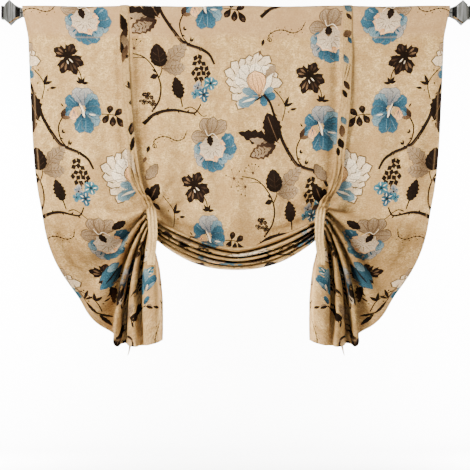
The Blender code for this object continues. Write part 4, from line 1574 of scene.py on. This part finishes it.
def linen_look(name, light, dark, show):
    """Linen with this much of its print showing, woven, mottled, hemmed and stitched, with painted shade from
    its folds and gathers, over its rod pocket and in its seams' troughs.
    """
    made, tree, shader = shader_of(name, CLOTH_ROUGHNESS)
    place = flat_vector(tree)
    u, v, to_hem = add_node(tree, "ShaderNodeSeparateXYZ", {0: place}).outputs
    threads = weave(tree, place)
    ground = mottled(tree, place, light, dark, PANEL_LAYERS)
    ground = woven(tree, threads, ground, dark, PANEL_WEAVE)
    # painted shade over the rod pocket, fading out just below its seam
    heading_shade = spread(tree, v, SEAM_V - HEADING_EDGE[0], SEAM_V + HEADING_EDGE[1], HEADING_SHADE, 0.0)
    ground = mixed(tree, heading_shade, ground, THREAD_AND_SHADE)
    ground = shaded(tree, inked(tree, place, threads, ground, show))
    edge = calculated(tree, "SUBTRACT", HALF_WIDTH, calculated(tree, "ABSOLUTE", u))
    sewn, pull = 0.0, 0.0
    for run, across, line in ((u, v, SEAM_V), (v, edge, SIDE_HEM), (u, to_hem, BOTTOM_HEM)):
        sewn = calculated(tree, "ADD", sewn, stitches(tree, run, near_line(tree, across, line, THREAD_WIDTH)))
        pull = calculated(tree, "MAXIMUM", pull, near_line(tree, across, line, PULL_WIDTH))
    pucker = noise(tree, place, (150.0, 150.0, 0.0), 1.0)
    pull = calculated(tree, "MULTIPLY", pull, spread(tree, pucker, 0.3, 0.7, 0.5, 1.0))
    # painted shade in the trough that each seam pulls in
    ground = mixed(tree, calculated(tree, "MULTIPLY", pull, SEAM_TROUGH_SHADE), ground, THREAD_AND_SHADE)
    ground = mixed(tree, calculated(tree, "MULTIPLY", sewn, SEWN_TINT), ground, THREAD_AND_SHADE)
    height = calculated(tree, "MULTIPLY", threads, THREAD_RELIEF)
    height = calculated(tree, "SUBTRACT", height, calculated(tree, "MULTIPLY", pull, PULL_RELIEF))
    height = calculated(tree, "ADD", height, calculated(tree, "MULTIPLY", sewn, SEWN_RELIEF))
    finish_cloth(tree, shader, ground, height)
    return made


def tie_look():
    """The ties' linen: the panel's, with stitching near both edges of the strap."""
    made, tree, shader = shader_of("tie_linen_look", CLOTH_ROUGHNESS)
    place = flat_vector(tree)
    across, run, _ = add_node(tree, "ShaderNodeSeparateXYZ", {0: place}).outputs
    threads = weave(tree, place)
    ground = mottled(tree, place, LINEN_LIGHT, LINEN_DARK, TIE_LAYERS)
    ground = woven(tree, threads, ground, LINEN_DARK, TIE_WEAVE)
    ground = shaded(tree, inked(tree, place, threads, ground, 1.0))
    line = near_line(tree, calculated(tree, "ABSOLUTE", across), TIE_STITCH, THREAD_WIDTH)
    sewn = stitches(tree, run, line)
    ground = mixed(tree, calculated(tree, "MULTIPLY", sewn, TIE_SEWN_TINT), ground, THREAD_AND_SHADE)
    height = calculated(tree, "SUBTRACT", calculated(tree, "MULTIPLY", threads, THREAD_RELIEF), line)
    finish_cloth(tree, shader, ground, height)
    return made


def metal_look():
    """Polished metal with faint brushing and smudges, and painted reflections as soft darker bands across it.
    """
    made, tree, shader = shader_of("polished_metal_look", 0.1, 1.0)
    place = add_node(tree, "ShaderNodeTexCoord").outputs["Object"]
    smudge = noise(tree, place, (60.0, 60.0, 60.0), 4.0, 0.6)
    brushing = noise(tree, place, (900.0, 60.0, 60.0), 2.0)
    reflection_bands = noise(tree, place, (240.0, 18.0, 18.0), 1.0)
    shade = mixed(tree, spread(tree, smudge, 0.35, 0.7, 0.0, 0.5), METAL, darker(METAL, 0.82))
    # painted reflections: soft darker bands across the rod, collars and finials
    shade = mixed(tree, spread(tree, reflection_bands, 0.42, 0.58, 0.0, 0.8), shade, METAL_REFLECTION_BAND)
    tree.links.new(shade, shader.inputs["Base Color"])
    tree.links.new(spread(tree, smudge, 0.3, 0.7, 0.07, 0.2), shader.inputs["Roughness"])
    bump = add_node(tree, "ShaderNodeBump", {"Strength": 0.15, "Distance": 0.0002, "Height": brushing})
    tree.links.new(bump.outputs[0], shader.inputs["Normal"])
    return made


# The ties, as in the solids: sections along the strap with its middle, width and thickness, how many
# degrees its outer edge is tilted up, and how deep its lengthwise pleats are
Section = namedtuple("Section", "x back drop width thickness tilt pleat", defaults=(0, 0.0))
STRAP_THICKNESS = 0.0014
STRAP_GAP = 0.0016
STRAP_TURN = (97, 111, 125, 139, 153, 167, 181, 195)  # degrees around the rod of its first sections
CLOTH_REACH_X = 0.018
CLOTH_REACH_DROP = 0.055
StrapPlace = namedtuple("StrapPlace", "x drop width pleat")
FRONT_STRAP = (
    StrapPlace(0.3050, 0.068, 0.025, 0.0),
    StrapPlace(0.3050, 0.130, 0.025, 0.0002),
    StrapPlace(0.2980, 0.266, 0.027, 0.0004),
    StrapPlace(0.2850, 0.375, 0.027, 0.0009),
    StrapPlace(0.2736, 0.457, 0.031, 0.0022),
)
BACK_STRAP = (
    StrapPlace(0.3050, 0.068, 0.025, 0.0),
    StrapPlace(0.3030, 0.130, 0.025, 0.0002),
    StrapPlace(0.2960, 0.270, 0.025, 0.0004),
    StrapPlace(0.2820, 0.400, 0.025, 0.0009),
    StrapPlace(0.2620, 0.500, 0.023, 0.0016),
)
# The rest of each tie, as rows of a section
KNOT_AND_TURN = [
    (0.2560, -0.0165, 0.498, 0.019, 0.008, 0, 0.0030),
    (0.2475, -0.0230, 0.508, 0.023, 0.017, 0, 0.0034),
    (0.2405, -0.0265, 0.521, 0.027, 0.021, 0, 0.0034),
    (0.2340, -0.0290, 0.535, 0.021, 0.014, 0, 0.0026),
    (0.2290, -0.0335, 0.550, 0.012, 0.003, 0, 0.0010),
    (0.2265, -0.0350, 0.580, 0.011, 0.002, 0, 0.0005),
    (0.2240, -0.0320, 0.608, 0.010, 0.002, 15, 0.0004),
    (0.2225, -0.0180, 0.624, 0.009, 0.002, 36, 0.0003),
    (0.2225, 0.0000, 0.625, 0.009, 0.002, 36, 0.0003),
    (0.2225, 0.0230, 0.624, 0.009, 0.002, 36, 0.0003),
    (0.2235, 0.0335, 0.614, 0.010, 0.002, 25, 0.0003),
    (0.2260, 0.0350, 0.595, 0.011, 0.002, 5, 0.0003),
    (0.2320, 0.0335, 0.560, 0.012, 0.002, 0, 0.0003),
]
SHORT_END = [
    (0.2345, -0.0270, 0.522, 0.012, 0.008, 0, 0.0020),
    (0.2310, -0.0365, 0.541, 0.024, 0.003, 0, 0.0020),
    (0.2270, -0.0400, 0.570, 0.025, 0.0016, 0, 0.0014),
    (0.2262, -0.0430, 0.620, 0.024, 0.0015, 0, 0.0008),
    (0.2298, -0.0460, 0.660, 0.023, 0.0015, 0, 0.0006),
    (0.2305, -0.0475, 0.688, 0.022, 0.0015, 0, 0.0004),
]
BACK_END = [
    (0.2450, 0.0370, 0.560, 0.018, 0.0018, 0, 0.0010),
    (0.2480, 0.0400, 0.640, 0.020, 0.0016, 0, 0.0008),
    (0.2620, 0.0420, 0.740, 0.018, 0.0016, 0, 0.0006),
    (0.2830, 0.0420, 0.840, 0.012, 0.0016, 0, 0.0004),
    (0.2900, 0.0400, 0.900, 0.008, 0.0016, 0, 0.0002),
    (0.2940, 0.0330, 0.925, 0.004, 0.0016, 0, 0.0),
    (0.2975, 0.0300, 0.938, 0.002, 0.0012, 0, 0.0),
]
STRAP_SPACING = 0.002
STRAP_HALF = 0.0125
STRAP_SHADE = (0.92, 0.20, 0.32)  # at its top, added lower down, and the drop where that starts
STRAP_FADE = 0.12
KNOT_SHADES = ((0.492, 0.35), (0.510, 0.45), (0.536, 0.60))  # drop and depth of the knot's own shadows
KNOT_SHADE_WIDTH = 0.0045
END_SHADE = (0.70, 0.528, 0.42)  # of the short end at the knot, the drop where that fades, and of the rest
END_FADE = 0.03
STRAP_POINTS = 17  # across the strap, on each of its faces
STRAP_EDGE = 0.35  # how squarely its edges are rounded
PLEATS = 2.6  # in the strap's width
FINE_PLEATS = (5.3, 0.4)  # in its width, and their depth as a share
PLEAT_DRIFT = ((0.7, 23.0, 0.0), (0.5, 61.0, 1.0))  # amount, rate and start of the waves they drift by
CRUMPLE = (0.10, 310.0)  # of the thickness, and its rate along the strap
RAGGED = 0.0012  # how uneven the short end's cut is


def strap_sections(route, front):
    """Sections along a strap that is sewn on over the rod and lies on the cloth's front or back."""
    sections = []
    side = -1 if front else 1
    top = route[0]
    for degrees in STRAP_TURN:
        angle = math.radians(degrees)
        reach = max(pocket_reach(top.x + edge * top.width / 2, angle) for edge in (-1, 0, 1))
        reach += BACK_OFF + STRAP_THICKNESS / 2
        back = -side * reach * math.cos(angle)
        sections.append(Section(top.x, back, -reach * math.sin(angle), top.width, STRAP_THICKNESS))
    lift = CLOTH_THICKNESS / 2 + STRAP_GAP + STRAP_THICKNESS / 2
    seam_back = FIELD_BACK if front else FIELD_BACK + CLOTH_THICKNESS + FLAP_GAP
    sections.append(Section(top.x, seam_back + side * lift, top.drop, top.width, STRAP_THICKNESS))
    for place in route[1:]:
        face = cloth_face(place, front)
        lie = face + side * lift
        sections.append(Section(place.x, lie, place.drop, place.width, STRAP_THICKNESS, 0, place.pleat))
    return sections


def cloth_face(place, front):
    """How far back the cloth's front or back face lies near this place, over the strap's width."""
    cloth = HUNG.points.reshape(-1, 3)
    near_x = abs(np.abs(cloth[:, 0]) - place.x) < place.width / 2 + CLOTH_REACH_X
    near_drop = abs(-cloth[:, 2] - place.drop) < CLOTH_REACH_DROP
    backs = cloth[near_x & near_drop, 1]
    return backs.min() if front else backs.max()


def sections_between(start, end):
    return max(1, round(np.linalg.norm((end - start)[:3]) / STRAP_SPACING))


def strap_folds(across, run, pleat):
    """How far a strap's pleats stand out across it, at this distance along it."""
    drift = sum(amount * math.sin(run * rate + start) for amount, rate, start in PLEAT_DRIFT)
    folds = pleat * np.sin(math.pi * PLEATS * across + drift)
    folds += FINE_PLEATS[1] * pleat * np.sin(math.pi * FINE_PLEATS[0] * across - 2.0 * drift + run * 30.0)
    return folds * (1 - 0.5 * across**2)


def tube_faces(rings, count):
    """The triangles of a tube of rings with this many points each, and of its closed ends."""
    i, j = (k.ravel() for k in np.meshgrid(np.arange(rings - 1), np.arange(count)))
    a, b = i * count + j, i * count + (j + 1) % count
    inner, last = np.arange(1, count - 1), (rings - 1) * count
    return np.concatenate([
        np.column_stack([a, b + count, b]),
        np.column_stack([a, a + count, b + count]),
        np.column_stack([0 * inner, inner, inner + 1]),
        np.column_stack([0 * inner + last, inner + last + 1, inner + last]),
    ])


def make_ribbon(sections, side, ragged=0.0):
    """A cloth strap along these sections, pleated lengthwise, with rounded edges and closed ends.

    Gives its points, their flat places and its triangles."""
    rows = smooth_rows(sections, sections_between)
    middles = rows[:, :3] * (side, 1.0, -1.0)
    tangents = unit(np.gradient(middles, axis=0))
    runs = np.concatenate([[0], np.cumsum(np.linalg.norm(np.diff(middles, axis=0), axis=1))])
    across = np.linspace(-1, 1, STRAP_POINTS)
    edge = np.sin(np.linspace(0, math.pi, STRAP_POINTS)) ** STRAP_EDGE
    points, flat = [], []
    for middle, tangent, run, (width, thickness, degrees, pleat) in zip(middles, tangents, runs, rows[:, 3:]):
        tilt = math.radians(degrees)
        sideways = np.array([side * math.cos(tilt), 0, math.sin(tilt)])
        sideways -= tangent * sideways.dot(tangent)
        sideways /= np.linalg.norm(sideways)
        up = np.cross(tangent, sideways)
        folds = strap_folds(across, run, pleat)
        crumple = CRUMPLE[0] * thickness * np.sin(run * CRUMPLE[1] + 4.0 * across)
        for face, order in ((1, slice(None)), (-1, slice(None, None, -1))):
            heights = face * thickness / 2 * edge + folds + crumple
            ring = middle + np.outer(across * width / 2, sideways) + np.outer(heights, up)
            points.append(ring[order])
            flat.append(np.column_stack([(across * STRAP_HALF)[order], np.full(STRAP_POINTS, run)]))
    cut = ragged * (np.sin(across * 9.0) + 0.6 * np.sin(across * 23.0 + 1.0))
    points[-2] += np.outer(cut, tangents[-1])
    points[-1] += np.outer(cut[::-1], tangents[-1])
    return np.concatenate(points), np.concatenate(flat), tube_faces(len(rows), 2 * STRAP_POINTS)


def tie_object(name, runs, look, shapes):
    """Several ribbons as one strap with this print."""
    firsts = np.cumsum([0] + [len(points) for points, _, _ in runs])
    points = np.concatenate([run[0] for run in runs])
    flat = np.concatenate([run[1] for run in runs])
    faces = np.concatenate([run[2] + first for run, first in zip(runs, firsts)])
    made = cloth_object(name, points, faces, [look])
    corners = print_on(flat, faces, shapes)
    corners[np.arange(len(faces)) >= len(runs[0][2])] = 0.0
    keep_flat_places(made.data, flat, np.ones(len(flat)), corners)
    drop = -points[:, 2]
    strap_shade = STRAP_SHADE[0] + STRAP_SHADE[1] * ease((drop - STRAP_SHADE[2]) / STRAP_FADE)
    for place, depth in KNOT_SHADES:
        strap_shade += depth * np.exp(-(((drop - place) / KNOT_SHADE_WIDTH) ** 2))
    end_shade = END_SHADE[2] + END_SHADE[0] * (1 - ease((drop - END_SHADE[1]) / END_FADE))
    keep_shade(made.data, np.where(np.arange(len(points)) < len(runs[0][0]), strap_shade, end_shade))
    return made


# Bits of the print on the left and right front straps: steps outward from the strap's middle and down the
# drawing, from one place to another, with their width and ink
STRAP_MARKS = {
    -1: (
        (4.5, 17, -1.5, 36, 9, DARK),
        (-3, 30, 4, 47, 7, BROWN),
        (2, 38, -4, 54, 8, TAUPE),
        (5, 43, 0, 60, 5, DARK),
        (-3, 48, 2, 66, 6, UMBER),
        (-4, 58, -2, 62, 3, DARK),
        (1, 88, -5, 93, 1.1, DARK),
        (-2.5, 84, -4.5, 93, 3, DARK),
        (-4, 104, -4, 109, 3.4, DARK),
        (-1, 139, -4, 126, 6.5, DARK),
        (-1.5, 137, -3.5, 130, 2.4, UMBER),
        (1, 155, -4, 140, 4.5, DARK),
        (3, 158, 0, 192, 1.2, LINE),
        (-1, 160, -3, 190, 1.2, LINE),
        (4.5, 150, -1, 178, 5, HAZE),
    ),
    1: (
        (-3, 6, 4, 14, 7, SKY),
        (-2, 16, 4, 23, 4, BROWN),
        (-5, 39, 4, 35, 8, UMBER),
        (0, 40, 4, 47, 4, BLUE),
        (-5, 58, 1, 67, 5.5, SKY),
        (-5, 57, -2, 62, 3, BLUE),
        (3, 66, -1, 85, 1.1, LINE),
        (0, 67, -3, 82, 1.1, LINE),
        (-3, 84, 3, 93, 5, BROWN),
        (-4, 93, 1, 101, 4.5, DARK),
        (-3, 120, 2, 128, 5.5, SKY),
        (-2, 128, 0, 141, 6, UMBER),
        (-3, 142, 2, 152, 6.5, DARK),
        (-3, 151, -1, 160, 4, DARK),
        (3, 165, 0, 190, 1.2, LINE),
    ),
}
STRAP_TOP = 4.4  # where the strap's start lies down the drawing, were it straight


def strap_shapes(side):
    """The print of one front strap, on its own flat places."""
    made = []
    for across, down, to_across, to_down, width, ink in STRAP_MARKS[side]:
        start, end = (across, down - STRAP_TOP), (to_across, to_down - STRAP_TOP)
        made.append(moved(leaf(start, end, width, ink, 0.06, 0.5, 0.8), DRAWING_STEP))
    return made

def make_ties(look):
    made = []
    for label, side in (("left", -1), ("right", 1)):
        strap = strap_sections(FRONT_STRAP, True) + KNOT_AND_TURN
        runs = [make_ribbon(strap, side), make_ribbon(SHORT_END, side, RAGGED)]
        front = tie_object(f"{label}_front_strap", runs, look, strap_shapes(side))
        back = strap_sections(BACK_STRAP, False) + BACK_END
        back = tie_object(f"{label}_back_strap", [make_ribbon(back, side)], look, [])
        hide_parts(f"{label}_front_tie")
        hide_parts(f"{label}_back_tie")
        made += [front, back]
    return made


# The studio: its floor and backdrop, seen from the side, and its lights
STUDIO_HALF_WIDTH = 5.0
STUDIO_FRONT = -4.0
STUDIO_FLOOR = -1.32
STUDIO_BACK = 1.8
STUDIO_TOP = 2.2
STUDIO_BEND = 0.5  # the radius between the floor and the backdrop
STUDIO_GREYS = ((0.86, 0.86, 0.86), (0.90, 0.90, 0.90))
AIR_COLOUR = (1.0, 0.99, 0.97, 1)
AIR_STRENGTHS = (0.45, 2.5)  # as light on things, and as seen directly
LIGHTS = (
    ("key", (-3.1, -2.4, 1.5), (0, 0, -0.45), (1.1, 1.1), 555),
    ("fill", (2.2, -3.0, 0.2), (0, 0, -0.5), (2.2, 2.2), 45),
    ("left_backdrop_light", (-1.25, 0.6, -0.5), (-0.5, 1.75, -0.5), (0.3, 2.2), 340),
    ("right_backdrop_light", (1.25, 0.6, -0.5), (0.5, 1.75, -0.5), (0.3, 2.2), 340),
)


def make_light(name, place, target, size, power):
    data = bpy.data.lights.new(name, "AREA")
    data.shape = "RECTANGLE"
    data.size, data.size_y = size
    data.energy = power
    made = linked(name, data)
    made.location = place
    made.rotation_euler = (Vector(target) - Vector(place)).to_track_quat("-Z", "Y").to_euler()
    made.visible_glossy = False
    made.visible_camera = False


# Upright cards that only show as they are reflected in the finials: their two edges seen from above, their
# height above and below the rod, and how bright they are. Each is there on both sides, in mirror image.
Card = namedtuple("Card", "edge other_edge height brightness")
CARDS = (
    Card((0.20, -0.62), (-0.42, -1.00), 0.35, 0.005),
    Card((-0.65, -1.50), (-0.98, -1.50), 0.35, 0.005),
    Card((1.00, -0.50), (1.00, -0.12), 0.35, 0.80),
)


def make_card(card, side, name):
    mesh = bpy.data.meshes.new(name)
    (x, y), (other_x, other_y) = card.edge, card.other_edge
    low = [(side * x, y, -card.height), (side * other_x, other_y, -card.height)]
    high = [(side * other_x, other_y, card.height), (side * x, y, card.height)]
    mesh.from_pydata(low + high, [], [(0, 1, 2, 3)])
    look, _, shader = shader_of(f"{name}_paper", 0.9)
    shader.inputs["Base Color"].default_value = (0, 0, 0, 1)
    shader.inputs["Emission Color"].default_value = (1, 1, 1, 1)
    shader.inputs["Emission Strength"].default_value = card.brightness
    mesh.materials.append(look)
    made = linked(name, mesh)
    made.visible_camera = False
    made.visible_diffuse = False
    made.visible_shadow = False


def studio_look():
    """Pale paper that is clear from its other side, so that it doesn't hide the curtain from behind."""
    made, tree, shader = shader_of("studio_paper", 0.9)
    place = add_node(tree, "ShaderNodeTexCoord").outputs["Object"]
    grain = noise(tree, place, (3.0, 3.0, 3.0), 2.0)
    tree.links.new(mixed(tree, grain, *STUDIO_GREYS), shader.inputs["Base Color"])
    behind = add_node(tree, "ShaderNodeNewGeometry").outputs["Backfacing"]
    clear = add_node(tree, "ShaderNodeBsdfTransparent").outputs[0]
    seen = add_node(tree, "ShaderNodeMixShader", {0: behind, 1: shader.outputs[0], 2: clear}).outputs[0]
    output = next(node for node in tree.nodes if node.type == "OUTPUT_MATERIAL")
    tree.links.new(seen, output.inputs["Surface"])
    return made


def make_studio():
    """A pale floor that curves up into a backdrop, soft lights, and the cards that show in the finials."""
    bend_y, bend_z = STUDIO_BACK - STUDIO_BEND, STUDIO_FLOOR + STUDIO_BEND
    profile = [(STUDIO_FRONT, STUDIO_FLOOR), (bend_y, STUDIO_FLOOR)]
    for angle in np.linspace(0.15, math.pi / 2, 9):
        profile.append((bend_y + STUDIO_BEND * math.sin(angle), bend_z - STUDIO_BEND * math.cos(angle)))
    profile.append((STUDIO_BACK, STUDIO_TOP))
    points = [(x, y, z) for x in (-STUDIO_HALF_WIDTH, STUDIO_HALF_WIDTH) for y, z in profile]
    count = len(profile)
    faces = [(j, count + j, count + j + 1, j + 1) for j in range(count - 1)]
    mesh = bpy.data.meshes.new("studio")
    mesh.from_pydata(points, [], faces)
    mesh.shade_smooth()
    mesh.materials.append(studio_look())
    studio = linked("studio", mesh)
    studio.visible_glossy = False
    for light in LIGHTS:
        make_light(*light)
    for side, label in ((-1, "left"), (1, "right")):
        for number, card in enumerate(CARDS):
            make_card(card, side, f"{label}_card_{number}")


def make_air():
    """The pale surrounding, which is brighter where it is seen directly."""
    world = bpy.data.worlds.new("studio_air")
    world.use_nodes = True
    air = world.node_tree.nodes["Background"]
    air.inputs["Color"].default_value = AIR_COLOUR
    seen = add_node(world.node_tree, "ShaderNodeLightPath").outputs["Is Camera Ray"]
    world.node_tree.links.new(spread(world.node_tree, seen, 0.0, 1.0, *AIR_STRENGTHS), air.inputs["Strength"])
    bpy.context.scene.world = world


def make_camera():
    data = bpy.data.cameras.new("camera")
    data.sensor_width = SENSOR_WIDTH
    data.lens = SENSOR_WIDTH * -CAMERA_PLACE.y / FRAME_WIDTH
    camera = linked("camera", data)
    camera.location = CAMERA_PLACE
    camera.rotation_euler = (math.pi / 2, 0, 0)
    bpy.context.scene.camera = camera


def main():
    make_camera()
    make_studio()
    make_air()
    face_look = linen_look("printed_linen_look", LINEN_LIGHT, LINEN_DARK, 1.0)
    back_look = linen_look("linen_back_look", LINEN_BACK, LINEN_DARK, BACK_SHOW)
    panel = make_panel(print_shapes(), (face_look, back_look))
    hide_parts("curtain_panel")
    for tie in make_ties(tie_look()):
        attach(tie, "root")
    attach(panel, "root")
    metal = metal_look()
    for node in ("rod", "left_collar", "right_collar", "left_finial", "right_finial"):
        bpy.data.objects[node].material_slots[0].material = metal


main()
